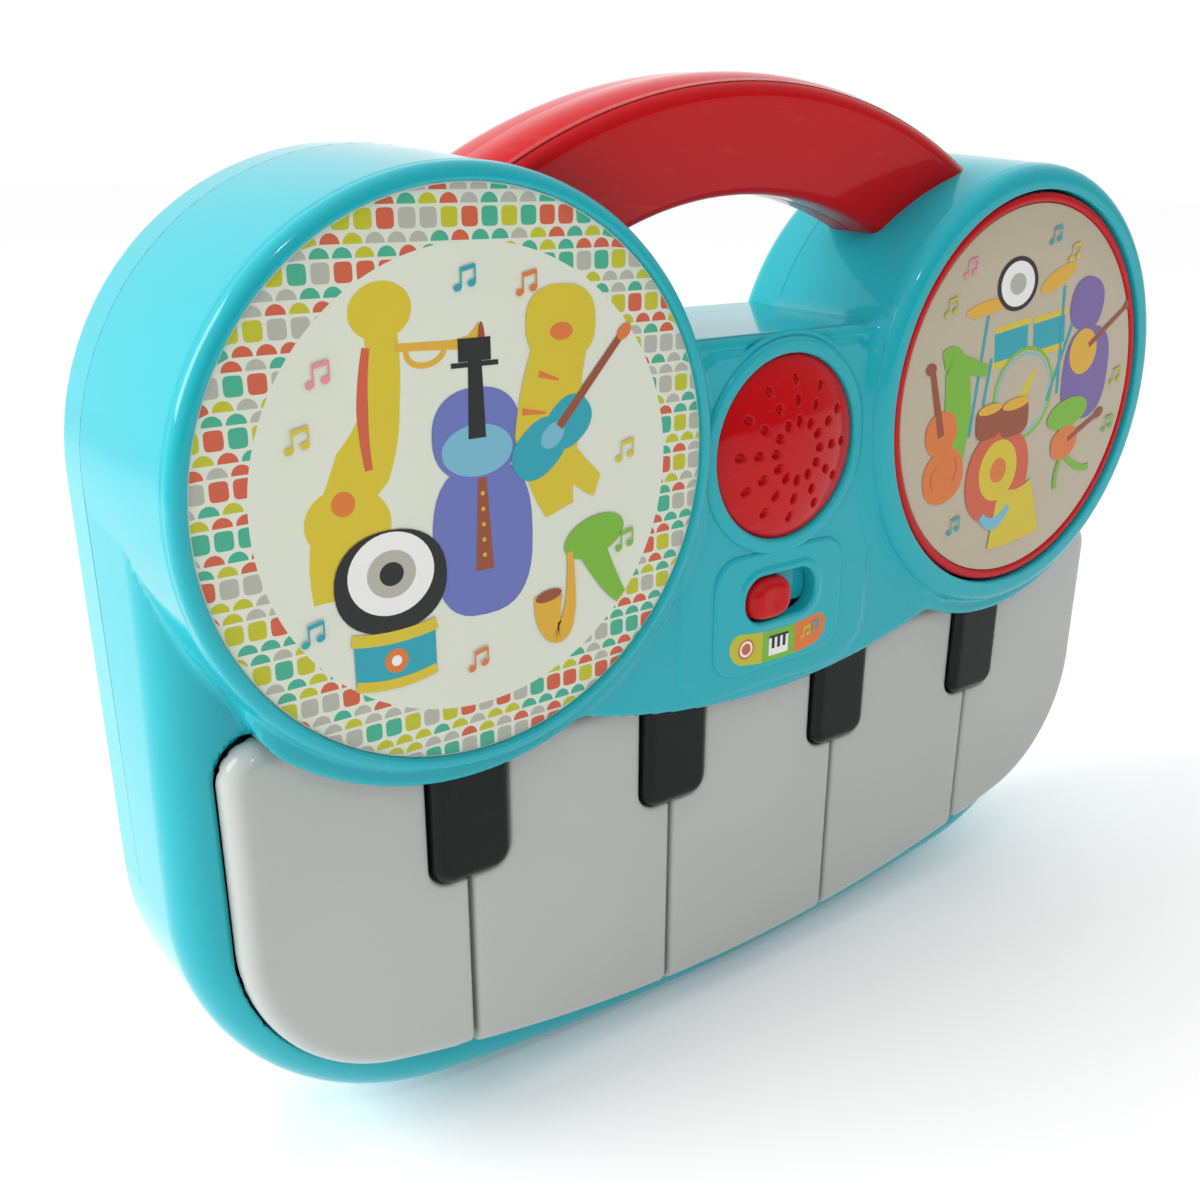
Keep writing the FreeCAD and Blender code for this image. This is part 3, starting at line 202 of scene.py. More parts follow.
# %% [markdown]
# ## Finishes
# Every finish is a small set of nodes on the Principled shader. Slow noise shifts the colour
# a little, as moulded plastic varies with its flow; fine noise lifts the surface; a stretched
# noise makes the light scuffs that a used toy has, and these are rougher and slightly paler.


# %% Finish maker
def finish(name, colour, rough, shine=0.3, metal=0.0, grain=0.04, scuff=0.08, vary=0.06,
           attribute=None):
    """A material: colour with slow variation, roughness with scuffs, fine bump. The colour is
    one for the whole piece, or is read from a named attribute of its points."""
    material = bpy.data.materials.new(name)
    material.use_nodes = True
    nodes, links = material.node_tree.nodes, material.node_tree.links
    shader = nodes["Principled BSDF"]
    coords = nodes.new("ShaderNodeTexCoord")

    def noise(scale, detail, stretch=None):
        cloud = nodes.new("ShaderNodeTexNoise")
        cloud.inputs["Scale"].default_value = scale
        cloud.inputs["Detail"].default_value = detail
        source = coords.outputs["Object"]
        if stretch:
            warp = nodes.new("ShaderNodeMapping")
            warp.inputs["Scale"].default_value = stretch
            links.new(source, warp.inputs["Vector"])
            source = warp.outputs["Vector"]
        links.new(source, cloud.inputs["Vector"])
        return cloud.outputs["Fac"]

    def between(source, low, high, start=0.35, stop=0.65):
        ranged = nodes.new("ShaderNodeMapRange")
        for slot_name, number in (("From Min", start), ("From Max", stop), ("To Min", low),
                                  ("To Max", high)):
            ranged.inputs[slot_name].default_value = number
        links.new(source, ranged.inputs["Value"])
        return ranged.outputs["Result"]

    def mixed(kind, amount, first, second):
        mixer = nodes.new("ShaderNodeMix")
        mixer.data_type = "RGBA"
        mixer.blend_type = kind
        links.new(amount, mixer.inputs["Factor"])
        for place, thing in ((6, first), (7, second)):
            if isinstance(thing, tuple):
                mixer.inputs[place].default_value = (*thing, 1)
            else:
                links.new(thing, mixer.inputs[place])
        return mixer.outputs[2]

    base = colour
    if attribute:
        ink = nodes.new("ShaderNodeAttribute")
        ink.attribute_name = attribute
        base = ink.outputs["Color"]
    marks = between(noise(60, 3, (1.0, 1.0, 7.0)), 0, 1, 0.62, 0.75)
    drift = mixed("MULTIPLY", between(noise(9, 2), 0, 1), base, (1 - vary,) * 3)
    faded = mixed("SCREEN", between(marks, 0, scuff * 0.35, 0, 1), drift, (0.5, 0.5, 0.5))
    links.new(faded, shader.inputs["Base Color"])
    wear = nodes.new("ShaderNodeMath")
    wear.operation = "MULTIPLY_ADD"
    links.new(marks, wear.inputs[0])
    wear.inputs[1].default_value = scuff
    links.new(between(noise(35, 4), rough * 0.8, rough * 1.25), wear.inputs[2])
    links.new(wear.outputs["Value"], shader.inputs["Roughness"])
    bump = nodes.new("ShaderNodeBump")
    bump.inputs["Strength"].default_value = grain
    bump.inputs["Distance"].default_value = 0.0004
    links.new(noise(420, 2), bump.inputs["Height"])
    links.new(bump.outputs["Normal"], shader.inputs["Normal"])
    shader.inputs["Metallic"].default_value = metal
    shader.inputs["IOR"].default_value = 1.5
    shader.inputs["Specular IOR Level"].default_value = shine
    return material


print("finishes shift slowly, scuff and carry a fine grain")

# %% [markdown]
# ## The toy's own finishes
# One finish for each kind of part. The teal, red and black are gloss mouldings; the keys are
# a milky white; the print takes its colours from its points; and the parts inside and at the
# back get plain board, rubber, metal and paper.

# %% Finishes
FINISHES = {
    "teal_plastic": finish("teal_gloss_plastic", (0.014, 0.44, 0.51), 0.09, scuff=0.04),
    "red_plastic": finish("red_gloss_plastic", (0.57, 0.006, 0.009), 0.09, shine=0.18),
    "white_plastic": finish("milky_key_plastic", (0.51, 0.53, 0.505), 0.11, scuff=0.02),
    "black_plastic": finish("black_key_plastic", (0.005, 0.007, 0.007), 0.07, shine=0.18,
                            scuff=0.02),
    "printed_paper": finish("printed_film", None, 0.18, attribute="ink",
                            vary=0.03, scuff=0.03),
    "screw_steel": finish("screw_steel", (0.55, 0.55, 0.56), 0.3, metal=1.0),
    "circuit_board": finish("board_green", (0.03, 0.18, 0.06), 0.45),
    "dome_rubber": finish("dome_rubber", (0.45, 0.45, 0.43), 0.6, grain=0.1),
    "cell_jacket": finish("cell_jacket", (0.05, 0.07, 0.12), 0.35),
    "speaker_steel": finish("speaker_steel", (0.4, 0.4, 0.42), 0.35, metal=1.0),
    "speaker_paper": finish("cone_paper", (0.03, 0.03, 0.03), 0.8, grain=0.2),
}
for subpart in frame["record"]["subparts"]:
    node = frame["nodes"][subpart["node"]]
    node.data.materials.clear()
    node.data.materials.append(FINISHES[subpart["material_slot"]])
print("finishes:", sorted(FINISHES))

# %% [markdown]
# ## Making a piece
# Each piece is one mesh in the frame's own place, with its points in millimetres. It rides
# on the body that it moves with, and it may stand for a plainer node of the frame.


# %% Piece maker
def piece(name, points, faces, slot, body="case", stands_for=(), normals=None, ink=None,
          smooth=True):
    """One mesh object from point and face arrays, riding on a body of the frame."""
    mesh = bpy.data.meshes.new(name)
    mesh.from_pydata((np.asarray(points) / MM).tolist(), [],
                     [list(f) for f in (faces.tolist() if hasattr(faces, "tolist") else faces)])
    mesh.polygons.foreach_set("use_smooth", [smooth] * len(mesh.polygons))
    if normals is not None:
        mesh.normals_split_custom_set_from_vertices(np.asarray(normals).tolist())
    if ink is not None:
        layer = mesh.color_attributes.new("ink", "FLOAT_COLOR", "POINT")
        layer.data.foreach_set("color", np.c_[ink, np.ones(len(ink))].ravel().astype(float))
    mesh.materials.append(FINISHES[slot])
    made = bpy.data.objects.new(name, mesh)
    bpy.context.scene.collection.objects.link(made)
    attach(made, body)
    if stands_for:
        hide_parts(*stands_for)
    print(name, len(mesh.vertices), "points", len(mesh.polygons), "faces")


def ring_faces(rows, columns, turned_over=False):
    """Four-sided faces of a grid of points whose last column joins its first."""
    row, column = np.meshgrid(np.arange(rows - 1), np.arange(columns), indexing="ij")
    after = (column + 1) % columns
    near, far = row * columns, (row + 1) * columns
    order = (near + column, far + column, far + after, near + after)
    return np.stack(order if turned_over else (order[0], *order[:0:-1]), -1).reshape(-1, 4)


print("pieces are in metres, shapes in millimetres:", MM, "to one")

# %% [markdown]
# ## Skin of a rounded body
# A moulded body that blends one form into another has no single outline to sweep, so it is
# worked out as a distance field: a formula that is below zero inside the body. A grid cell
# that the surface passes through gets one point, and every grid edge that it cuts gets a face.
# The points are then slid along the slope onto the true surface.


# %% Grid skin
def slope(field, points, reach=0.05):
    """Gradient of a field by small steps to both sides on each axis."""
    steps = np.eye(3) * reach
    return np.stack([(field(points + s) - field(points - s)) / (2 * reach) for s in steps], -1)


def cell_points(value, grid, step):
    """Middle of the places where the surface cuts each cell's edges, the cells' numbers, and
    for each axis which grid edges are cut and which of those run from inside to outside."""
    inside = value < 0
    cells = tuple(n - 1 for n in value.shape)
    total, count, cuts = np.zeros((*cells, 3)), np.zeros(cells), []
    for axis in range(3):
        first, last = [slice(None)] * 3, [slice(None)] * 3
        first[axis], last[axis] = slice(None, -1), slice(1, None)
        first, last = tuple(first), tuple(last)
        a, b = value[first], value[last]
        cut = inside[first] != inside[last]
        part = np.where(cut, a / np.where(cut, a - b, 1), 0)
        at = grid[first] + (part * step)[..., None] * np.eye(3)[axis]
        cuts.append((cut, inside[first]))
        others = [k for k in range(3) if k != axis]
        for shift in ((0, 0), (0, 1), (1, 0), (1, 1)):
            source = [slice(None)] * 3
            for k, s in zip(others, shift):
                source[k] = slice(s, s + cells[k])
            source = tuple(source)
            total += at[source] * cut[source][..., None]
            count += cut[source]
    active = count > 0
    index = np.full(cells, -1)
    index[active] = np.arange(active.sum())
    return total[active] / count[active][:, None], index, cuts


def cell_faces(index, cuts):
    """One face round every cut grid edge, through the four cells that share the edge."""
    faces = []
    for axis, (cut, from_inside) in enumerate(cuts):
        k, m = (axis + 1) % 3, (axis + 2) % 3
        where = np.argwhere(cut)
        where = where[(where[:, k] > 0) & (where[:, m] > 0) & (where[:, k] < index.shape[k])
                      & (where[:, m] < index.shape[m])]
        ring = []
        for dk, dm in ((-1, -1), (0, -1), (0, 0), (-1, 0)):
            spot = where.copy()
            spot[:, k] += dk
            spot[:, m] += dm
            ring.append(index[tuple(spot.T)])
        quad = np.stack(ring, -1)
        outward = from_inside[tuple(where.T)]
        faces.append(np.where(outward[:, None], quad, quad[:, ::-1]))
    return np.concatenate(faces)


def skin(field, low, high, step, open_back=False):
    """Points, four-sided faces and normals of field = 0 inside a box, on a grid. With
    open_back the grid stops at the box's back, so the skin ends there in a clean edge."""
    axes = [np.arange(a - 1.5 * step, b + 2.5 * step, step) for a, b in zip(low, high)]
    if open_back:
        axes[1] = np.arange(high[1], low[1] - 1.5 * step, -step)[::-1]
    grid = np.stack(np.meshgrid(*axes, indexing="ij"), -1)
    start, index, cuts = cell_points(field(grid), grid, step)
    faces, points = cell_faces(index, cuts), start
    for _ in range(3):
        way = slope(field, points)
        steepness = np.maximum((way ** 2).sum(-1), 0.2)
        points = points - (field(points) / steepness)[:, None] * way
        points = start + np.clip(points - start, -0.6 * step, 0.6 * step)
    if open_back:
        points[:, 1] = np.where(start[:, 1] > high[1] - step, high[1], points[:, 1])
    way = slope(field, points)
    return points, faces, way / np.maximum(np.linalg.norm(way, axis=-1, keepdims=True), 1e-6)


ball = skin(lambda p: np.linalg.norm(p, axis=-1) - 5, (-5, -5, -5), (5, 5, 5), 1.0)[0]
print("a test ball's radius is", round(float(np.linalg.norm(ball, axis=-1).mean()), 3), "of 5")

# %% [markdown]
# ## Rounded joins
# Moulded plastic has no sharp edges. Two fields are joined with a fillet, or their common part
# is kept with its edge rounded. With two straight sides the second gives a true round corner.


# %% Rounded joins
def union_round(a, b, r):
    """Union of two fields with a fillet of radius r between them."""
    u, v = np.maximum(r - a, 0), np.maximum(r - b, 0)
    return np.maximum(r, np.minimum(a, b)) - np.sqrt(u * u + v * v)


def common_round(a, b, r):
    """Common part of two fields with its edge rounded to radius r."""
    u, v = np.maximum(r + a, 0), np.maximum(r + b, 0)
    return np.minimum(-r, np.maximum(a, b)) + np.sqrt(u * u + v * v)


print("a 3 mm fillet fills a corner by", round(-float(union_round(0.0, 0.0, 3.0)), 2), "mm")

# %% [markdown]
# ## Outlines of the case
# The case seen from the front: two discs, a straight-sided frame whose lower corners are big
# arcs and whose lower edge is one long arc, and a fascia that hangs between the discs. All
# of them are short formulas, so the keys can use the same outline as the opening they sit in.

# %% Outlines
CORNER, LOWER_ARC = 85.0, 800.0
LEFT_IN = 1.027
KEY_CORNER, KEY_ARC, KEY_LOW = 55.0, 560.0, span("white_key_3", 2)[0] - 2.5


def circle(p, x, z, r):
    """Signed distance to a circle seen from the front."""
    return np.hypot(p[..., 0] - x, p[..., 2] - z) - r


def bowl(p, half, low, arc, corner):
    """Straight sides and a long arc below, joined by true corner arcs: the distance to a
    smaller sharp-cornered outline, less the corner radius."""
    x, z = np.abs(p[..., 0]), p[..., 2]
    top = low + arc
    tip_x, tip_z = half - corner, top - np.sqrt((arc - corner) ** 2 - (half - corner) ** 2)
    flat = np.maximum(x - tip_x, np.hypot(x, z - top) - (arc - corner))
    at_tip = (z < tip_z) & (x * (top - tip_z) > tip_x * (top - z))
    return np.where(at_tip, np.hypot(x - tip_x, z - tip_z), flat) - corner


def oblong(p, z, width, height, corner):
    """A rectangle with round corners, centred left to right."""
    return common_round(np.abs(p[..., 0]) - width / 2, np.abs(p[..., 2] - z) - height / 2,
                        corner)


def key_outline(p):
    """Outline that all five white keys share. The left side stands a little further in than
    the right."""
    left = p[..., :1] < 0
    p = p * np.where(left, LEFT_IN, 1.0) * [1, 0, 0] + p * [0, 1, 1]
    return bowl(p, KEY_HALF, KEY_LOW, KEY_ARC, KEY_CORNER)


print("frame half width", round(HALF_WIDTH, 1), "key half width", round(KEY_HALF, 1))

# %% [markdown]
# ## Front shell
# One moulding: drums, frame, bridge and fascia run into each other through soft fillets. It
# was injection moulded, so nothing is sharp but the pocket behind the keys. The lip round
# each drum passes over the keys, which is why the keys' top ends can't be seen.

# %% Front shell
RIM, SEAM_GAP, SHELL_STEP = 4.5, 0.15, 1.42
BRIDGE_TOP, FASCIA_HALF, FASCIA_ARC, FASCIA_LOW = DRUM_Z + 29.0, 85.0, 254.0, DRUM_Z - 87.0
LIP_RADIUS, LIP_HALF, LIP_THICK = 82.0, 172.0, 2.5
KEYS_TOP, SIDE_LEAN = DRUM_Z - 58.3, 2.8
WIDEN = (DRUM_BACK_RADIUS - DRUM_FRONT_RADIUS) / (PARTING - FRONT)


def drum_body(p, x):
    """A drum: its side widens towards the back. Its front sits just under the turned rim."""
    y = p[..., 1]
    side = circle(p, x, DRUM_Z, DRUM_FRONT_RADIUS) - (y - FRONT) * WIDEN
    return common_round(side, FRONT + 0.8 - y, RIM)


def shell_front(p):
    """Drums, frame, bridge, fascia and lips joined with fillets, with its pockets cut.
    Beside the drums the frame leans in towards its front, as the drums do, and there its
    fillet fades out. The opening is tightest at the frame's face, round the keys' edges."""
    x, y, z = p[..., 0], p[..., 1], p[..., 2]
    rise = np.clip((z - 100.0) / 80.0, 0, 1)
    lean = SIDE_LEAN * rise * rise * (3 - 2 * rise) * np.clip((PARTING - y) / 36.0, 0, 1)
    narrowed = np.stack([np.abs(x) + lean, y, z], -1)
    outline = bowl(narrowed, HALF_WIDTH, 0.0, LOWER_ARC, CORNER)
    frame_body = common_round(np.maximum(outline, z - DRUM_Z), FRAME_FACE + 3.5 - y, 13.0)
    inset = np.clip(oblong(p, DRUM_Z - 29.0, 80.0, 106.0, 16.0) / 1.6, 0, 1) * 0.9
    fascia = np.maximum(np.hypot(x, z - FASCIA_LOW - FASCIA_ARC) - FASCIA_ARC,
                        np.abs(x) - FASCIA_HALF)
    fascia = common_round(common_round(fascia, z - BRIDGE_TOP, 2.5),
                          FASCIA_FACE + inset - y, 2.6)
    lips = np.minimum(circle(p, -DRUM_X, DRUM_Z, LIP_RADIUS),
                      circle(p, DRUM_X, DRUM_Z, LIP_RADIUS))
    lips = common_round(np.maximum(lips, z - DRUM_Z), FASCIA_FACE - y, 1.8)
    lips = common_round(common_round(lips, outline, 13.0), np.abs(x) - LIP_HALF, 9.0)
    drums = np.minimum(drum_body(p, -DRUM_X), drum_body(p, DRUM_X))
    blend = 3.0 * np.clip((HALF_WIDTH - 3.0 - np.abs(x)) / 8.0, 0, 1)
    body = union_round(union_round(drums, fascia, 4.5), frame_body, blend)
    body = union_round(body, lips, 1.5)
    clear = 0.4 - 0.7 * np.clip(1 - (y - FRAME_FACE) / 2.8, 0, 1)
    opening = common_round(key_outline(p) - clear, z - KEYS_TOP, 11.7)
    opening = np.maximum(opening, np.maximum(FASCIA_FACE + LIP_THICK - y, y - 2.0))
    body = common_round(body, -opening, 0.8)
    well = np.maximum(circle(p, DRUM_X, DRUM_Z, PAD_RADIUS + 2.5), y - FRONT - 14.0)
    seat = np.maximum(circle(p, -DRUM_X, DRUM_Z, LEFT_PRINT), y - FRONT - 2.4)
    body = np.maximum(body, -np.minimum(well, seat))
    mouth = np.maximum(circle(p, 0.0, SPEAKER_Z, GRILLE_RADIUS + 0.5), y - FASCIA_FACE - 8.0)
    window = np.maximum(oblong(p, PANEL_Z, 46.0, 31.0, 5.0), y - FASCIA_FACE - 4.2)
    body = np.maximum(body, -np.minimum(mouth, window))
    return body


low = (-HALF_WIDTH - 1, FRONT, 0.0)
high = (HALF_WIDTH + 1, PARTING - SEAM_GAP, DRUM_Z + DRUM_BACK_RADIUS + 1)
points, faces, normals = skin(shell_front, low, high, SHELL_STEP,
                              open_back=True)
piece("case_front", points, faces, "teal_plastic", stands_for=("front_shell",),
      normals=normals)

# %% [markdown]
# ## Turned shapes
# Rings, rims and discs are round, so each is a profile turned round a line that runs from
# front to back. Their edges are much tighter than the rest of the shell, and a turned piece
# keeps them fine.


# %% Turned shapes
def turned(profile, centre, turns=160):
    """Profile (r, y) turned round a line along Y: (x + r sin t, y, z + r cos t)."""
    r, y = np.asarray(profile, float).T
    t = np.linspace(0, 2 * np.pi, turns, endpoint=False)
    points = np.stack([centre[0] + r[:, None] * np.sin(t), np.repeat(y[:, None], turns, 1),
                       centre[1] + r[:, None] * np.cos(t)], -1)
    return points.reshape(-1, 3), ring_faces(len(r), turns, turned_over=True)


def corner_arc(centre, r, start, stop, count=7):
    """Points of an arc in (r, y), angles in degrees from the +r side."""
    t = np.radians(np.linspace(start, stop, count))
    return [(centre[0] + r * np.cos(a), centre[1] + r * np.sin(a)) for a in t]


print("a quarter arc has", len(corner_arc((0, 0), 1, 0, 90)), "points")

# %% [markdown]
# ## Speaker ring and grille
# A raised ring of the case frames the red grille. The grille is a shallow dome with sound
# holes in three circles. The holes are pits in the dome's own surface, so no edge is left open.


# %% Speaker ring and grille
RING_OUT, RING_FACE = GRILLE_RADIUS + 5.4, FASCIA_FACE - 1.2
ring = ([(RING_OUT + 2.0, FASCIA_FACE + 0.2)]
        + [(RING_OUT + 0.9, RING_FACE + 1.0)]
        + corner_arc((RING_OUT - 1.5, RING_FACE + 1.5), 1.5, 0, -90)
        + corner_arc((GRILLE_RADIUS + 1.6, RING_FACE + 1.2), 1.2, -90, -180)
        + [(GRILLE_RADIUS + 0.4, FASCIA_FACE + 6.0)])
points, faces = turned(ring, (0.0, SPEAKER_Z))
piece("speaker_ring", points, faces, "teal_plastic")
SPOKES, HOLE_CIRCLES, DOME_RISE, PIT_DEPTH = 12, (9.0, 15.0, 21.0), 6.4, 1.8


def pierced_dome(rings=110, turns=420):
    """Dome y = face - rise (1 - (r/R)^2)^0.8, pushed in at every sound hole: holes lie on
    12 spokes, three to a spoke, and each is a smooth pit round its centre."""
    edge = GRILLE_RADIUS + 0.3
    r = np.linspace(0.2, edge, rings)[:, None]
    t = np.linspace(0, 2 * np.pi, turns, endpoint=False)[None, :]
    x, z = r * np.sin(t), r * np.cos(t)
    y = FASCIA_FACE + 0.6 - DOME_RISE * np.maximum(1 - (r / edge) ** 2, 0) ** 0.8
    spoke = 2 * np.pi / SPOKES
    nearest = np.round(t / spoke) * spoke
    across, along = r * np.sin(t - nearest), r * np.cos(t - nearest)
    pit = np.zeros_like(x)
    for reach in HOLE_CIRCLES:
        away = np.hypot(across / 1.15, (along - reach) / 1.45)
        pit = pit + np.clip(1.35 - away, 0, 0.7) / 0.7
    points = np.stack([x, y + pit * PIT_DEPTH, z + SPEAKER_Z], -1).reshape(-1, 3)
    return points, ring_faces(rings, turns).tolist() + [list(range(turns))[::-1]]


points, faces = pierced_dome()
piece("grille_dome", points, faces, "red_plastic", stands_for=("speaker_grille",))

# %% [markdown]
# ## Drum rims
# The grid can't follow the fine front edge of a drum, so each rim is a turned profile laid
# over the shell: a soft outer round, a flat lip and a small inner round. The right rim is
# wider, because the pad moves inside it.


# %% Drum rims

def rim_profile(inner, radius):
    """Outer side, round front edge, flat lip and inner edge of a drum's rim, in (r, y)."""
    start = FRONT + radius + 1.0
    outer = DRUM_FRONT_RADIUS + 0.03
    return ([(outer + (start - FRONT) * WIDEN, start)]
            + corner_arc((outer - radius, FRONT + radius), radius, 3, -90, 14)
            + corner_arc((inner + 0.7, FRONT + 0.7), 0.7, -90, -180)
            + [(inner, FRONT + 8.0)])


for side_name, x, inner, radius in (("left", -DRUM_X, LEFT_PRINT + 0.1, 3.4),
                                    ("right", DRUM_X, PAD_RADIUS + 0.8, 4.5)):
    points, faces = turned(rim_profile(inner, radius), (x, DRUM_Z), 256)
    piece(f"{side_name}_drum_rim", points, faces, "teal_plastic")

# %% [markdown]
# ## Switch panel
# A small raised panel under the grille, with a low rim round the slot that the knob runs in.
# It is one field again, on a fine grid, because its joins are small.

# %% Switch panel
SLOT_WIDTH, SLOT_HEIGHT = 30.0, 15.0


def switch_panel(p):
    """Raised round-cornered panel with a slot cut through it."""
    y = p[..., 1]
    pad = common_round(oblong(p, PANEL_Z, 54.6, 39.6, 9.0), FASCIA_FACE - 1.0 - y, 1.2)
    slot = oblong(p, SLOT_Z, SLOT_WIDTH, SLOT_HEIGHT, SLOT_HEIGHT / 2 - 0.5)
    rim = common_round(oblong(p, SLOT_Z, SLOT_WIDTH + 5.0, SLOT_HEIGHT + 5.0, 9.0),
                       FASCIA_FACE - 1.5 - y, 1.0)
    body = union_round(pad, rim, 1.0)
    body = common_round(body, -slot, 1.3)
    return np.maximum(body, y - FASCIA_FACE - 4.0)


points, faces, normals = skin(switch_panel, (-28, FASCIA_FACE - 2, PANEL_Z - 21),
                              (28, FASCIA_FACE + 4.5, PANEL_Z + 21), 0.5)
piece("switch_surround", points, faces, "teal_plastic", normals=normals)

# %% [markdown]
# ## White keys
# Each key is a hollow moulding with a pillowed front: wide rounding along the toy's outside,
# tight rounding where two keys meet, so the pair makes a fine valley. Notches take the black
# caps. All five come from one formula and differ only in their two sides. The cap is made as
# deep as can be seen, so that it clears what lies under a pressed key.


# %% White keys
KEY_GAP, CAP_DEPTH = 0.5, 8.5
EDGE_ROUND, SIDE_ROUND, VALLEY_ROUND = 7.0, 1.8, 2.2
NOTCH_HALF, NOTCH_GAP, NOTCH_CORNER, NOTCH_EDGE = 13.2, 0.8, 6.5, 1.4


def white_key(number):
    """Field of one key: common part of the shared outline, its own sides and its notches."""
    centre = (number - 3) * KEY_PITCH
    half = KEY_PITCH / 2 - KEY_GAP
    top = span(f"white_key_{number}", 2)[1]

    def field(p):
        x, y, z = p[..., 0], p[..., 1], p[..., 2]
        front = KEY_FACE - y
        side = np.abs(x - centre) - half
        if number in (1, 5):
            outer = -1 if number == 1 else 1
            side = (x - centre) * -outer - half
        top_round = 11.0 if number in (1, 5) else 1.0
        outline = common_round(key_outline(p), z - top, top_round)
        body = common_round(outline, front, EDGE_ROUND)
        body = common_round(body, side, SIDE_ROUND)
        body = common_round(body, common_round(side, front, VALLEY_ROUND), 1.0)
        for black in BLACK_X:
            notch = common_round(np.abs(x - black) - NOTCH_HALF, BLACK_LOW - NOTCH_GAP - z,
                                 NOTCH_CORNER)
            body = common_round(body, -notch, NOTCH_EDGE)
        return np.maximum(body, y - KEY_FACE - CAP_DEPTH)

    return field


for number in range(1, 6):
    name = f"white_key_{number}"
    low_corner, high_corner = (np.array(c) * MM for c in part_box(name))
    high_corner[1] = KEY_FACE + CAP_DEPTH + 0.5
    points, faces, normals = skin(white_key(number), low_corner, high_corner,
                                  1.2)
    piece(f"key_cap_{number}", points, faces, "white_plastic", body=f"key_{number}",
          stands_for=(name,), normals=normals)

# %% [markdown]
# ## Black caps
# Raised blocks with soft sides and rounded lower corners. Their tops run on under the fascia.


# %% Black caps
BLACK_HALF, BLACK_DEPTH, BLACK_LEAN = 12.1, 6.4, 0.12


def black_cap(centre):
    """Field of one cap: a block whose sides lean in towards its front."""
    top = span("black_key_1", 2)[1]

    def field(p):
        x, y, z = p[..., 0], p[..., 1], p[..., 2]
        lean = (y - BLACK_FACE) * BLACK_LEAN
        outline = common_round(np.abs(x - centre) - BLACK_HALF - lean,
                               BLACK_LOW + 0.3 - lean - z, 6.0)
        body = common_round(outline, BLACK_FACE - y, 3.0)
        return np.maximum(np.maximum(body, z - top), y - BLACK_FACE - BLACK_DEPTH)

    return field


for number, centre in enumerate(BLACK_X, start=1):
    low_corner, high_corner = (np.array(c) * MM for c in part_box(f"black_key_{number}"))
    high_corner[1] = BLACK_FACE + BLACK_DEPTH + 0.2
    points, faces, normals = skin(black_cap(centre), low_corner, high_corner, 0.8)
    piece(f"black_cap_{number}", points, faces, "black_plastic",
          stands_for=(f"black_key_{number}",), normals=normals)

# %% [markdown]
# ## Switch knob
# A rounded red button that the finger slides along the slot, slightly hollow in its middle.
# A two-angle surface fits it: a superellipsoid whose front is pushed in by a shallow dish.


# %% Switch knob
KNOB_HALF, KNOB_DEPTH, KNOB_DISH = 9.2, 15.0, 1.3


def knob(rows=36, columns=72):
    """(a c(u) c(v), b s(u), d c(u) s(v)) with powers under one, and a dished front."""
    front = span("switch_knob", 1)[0] - 1.8
    u = np.linspace(-np.pi / 2, np.pi / 2, rows)[:, None]
    v = np.linspace(0, 2 * np.pi, columns, endpoint=False)[None, :]

    def bent(a, power):
        return np.sign(a) * np.abs(a) ** power

    wide, tall, deep = KNOB_HALF, (SLOT_HEIGHT - 0.6) / 2, KNOB_DEPTH / 2
    cx, cz = span("switch_knob", 0)[0] + wide + 0.2, SLOT_Z
    x = cx + wide * bent(np.cos(u), 0.55) * bent(np.cos(v), 0.8)
    z = cz + tall * bent(np.cos(u), 0.55) * bent(np.sin(v), 0.8)
    y = front + deep + deep * bent(np.sin(u), 0.75) * np.ones_like(v)
    dish = KNOB_DISH * np.exp(-((x - cx) / 4.5) ** 2) * np.exp(-((z - cz) / 5) ** 2)
    y = np.where(y < front + deep, y + dish, y)
    return np.stack([x, y, z], -1).reshape(-1, 3), ring_faces(rows, columns)


points, faces = knob()
piece("slide_knob", points, faces, "red_plastic", body="mode_slider",
      stands_for=("switch_knob",))

# %% [markdown]
# ## Handle
# Two hollow moulded halves that meet in a fine seam under the arch. The front face leans
# forward to a ridge near the top, which is why it mirrors the room so clearly. The section is
# swept between the arch's inner and outer arcs, and the ends run on into the drums.


# %% Handle
HANDLE_RISE, RIDGE = 33.5, 29.5
OUTER_ARC, OUTER_DROP, OUTER_HALF = 184.0, 84.5, 101.0
INNER_ARC, INNER_DROP, INNER_HALF = 123.0, 57.0, 77.0


def softened(corners, count=7):
    """Closed outline whose corners are quadratic arcs: each corner is (a, b, reach)."""
    at = np.array([c[:2] for c in corners], float)
    reach = np.array([c[2] for c in corners], float)[:, None]
    before = np.roll(at, 1, 0) - at
    after = np.roll(at, -1, 0) - at
    start = at + before / np.linalg.norm(before, axis=1, keepdims=True) * reach
    stop = at + after / np.linalg.norm(after, axis=1, keepdims=True) * reach
    t = np.linspace(0, 1, count)[None, :, None]
    arcs = ((1 - t) ** 2 * start[:, None] + 2 * t * (1 - t) * at[:, None]
            + t ** 2 * stop[:, None])
    return arcs.reshape(-1, 2)


def arch(section, steps=120):
    """P(u, v) = I(u) + (O(u) - I(u)) s(v) across the arch, and y(v) through it."""
    u = np.linspace(-1, 1, steps)[:, None]
    s, y = (section[:, 0] / HANDLE_RISE)[None, :], section[:, 1][None, :]
    x_in, x_out = INNER_HALF * u, OUTER_HALF * u
    z_in = DRUM_Z - INNER_DROP + np.sqrt(INNER_ARC ** 2 - x_in ** 2)
    z_out = DRUM_Z - OUTER_DROP + np.sqrt(OUTER_ARC ** 2 - x_out ** 2)
    points = np.stack([x_in + (x_out - x_in) * s, np.repeat(y, steps, 0),
                       z_in + (z_out - z_in) * s], -1)
    count = len(section)
    last = (steps - 1) * count
    ends = [list(range(count))[::-1], list(range(last, last + count))]
    return points.reshape(-1, 3), ring_faces(steps, count).tolist() + ends


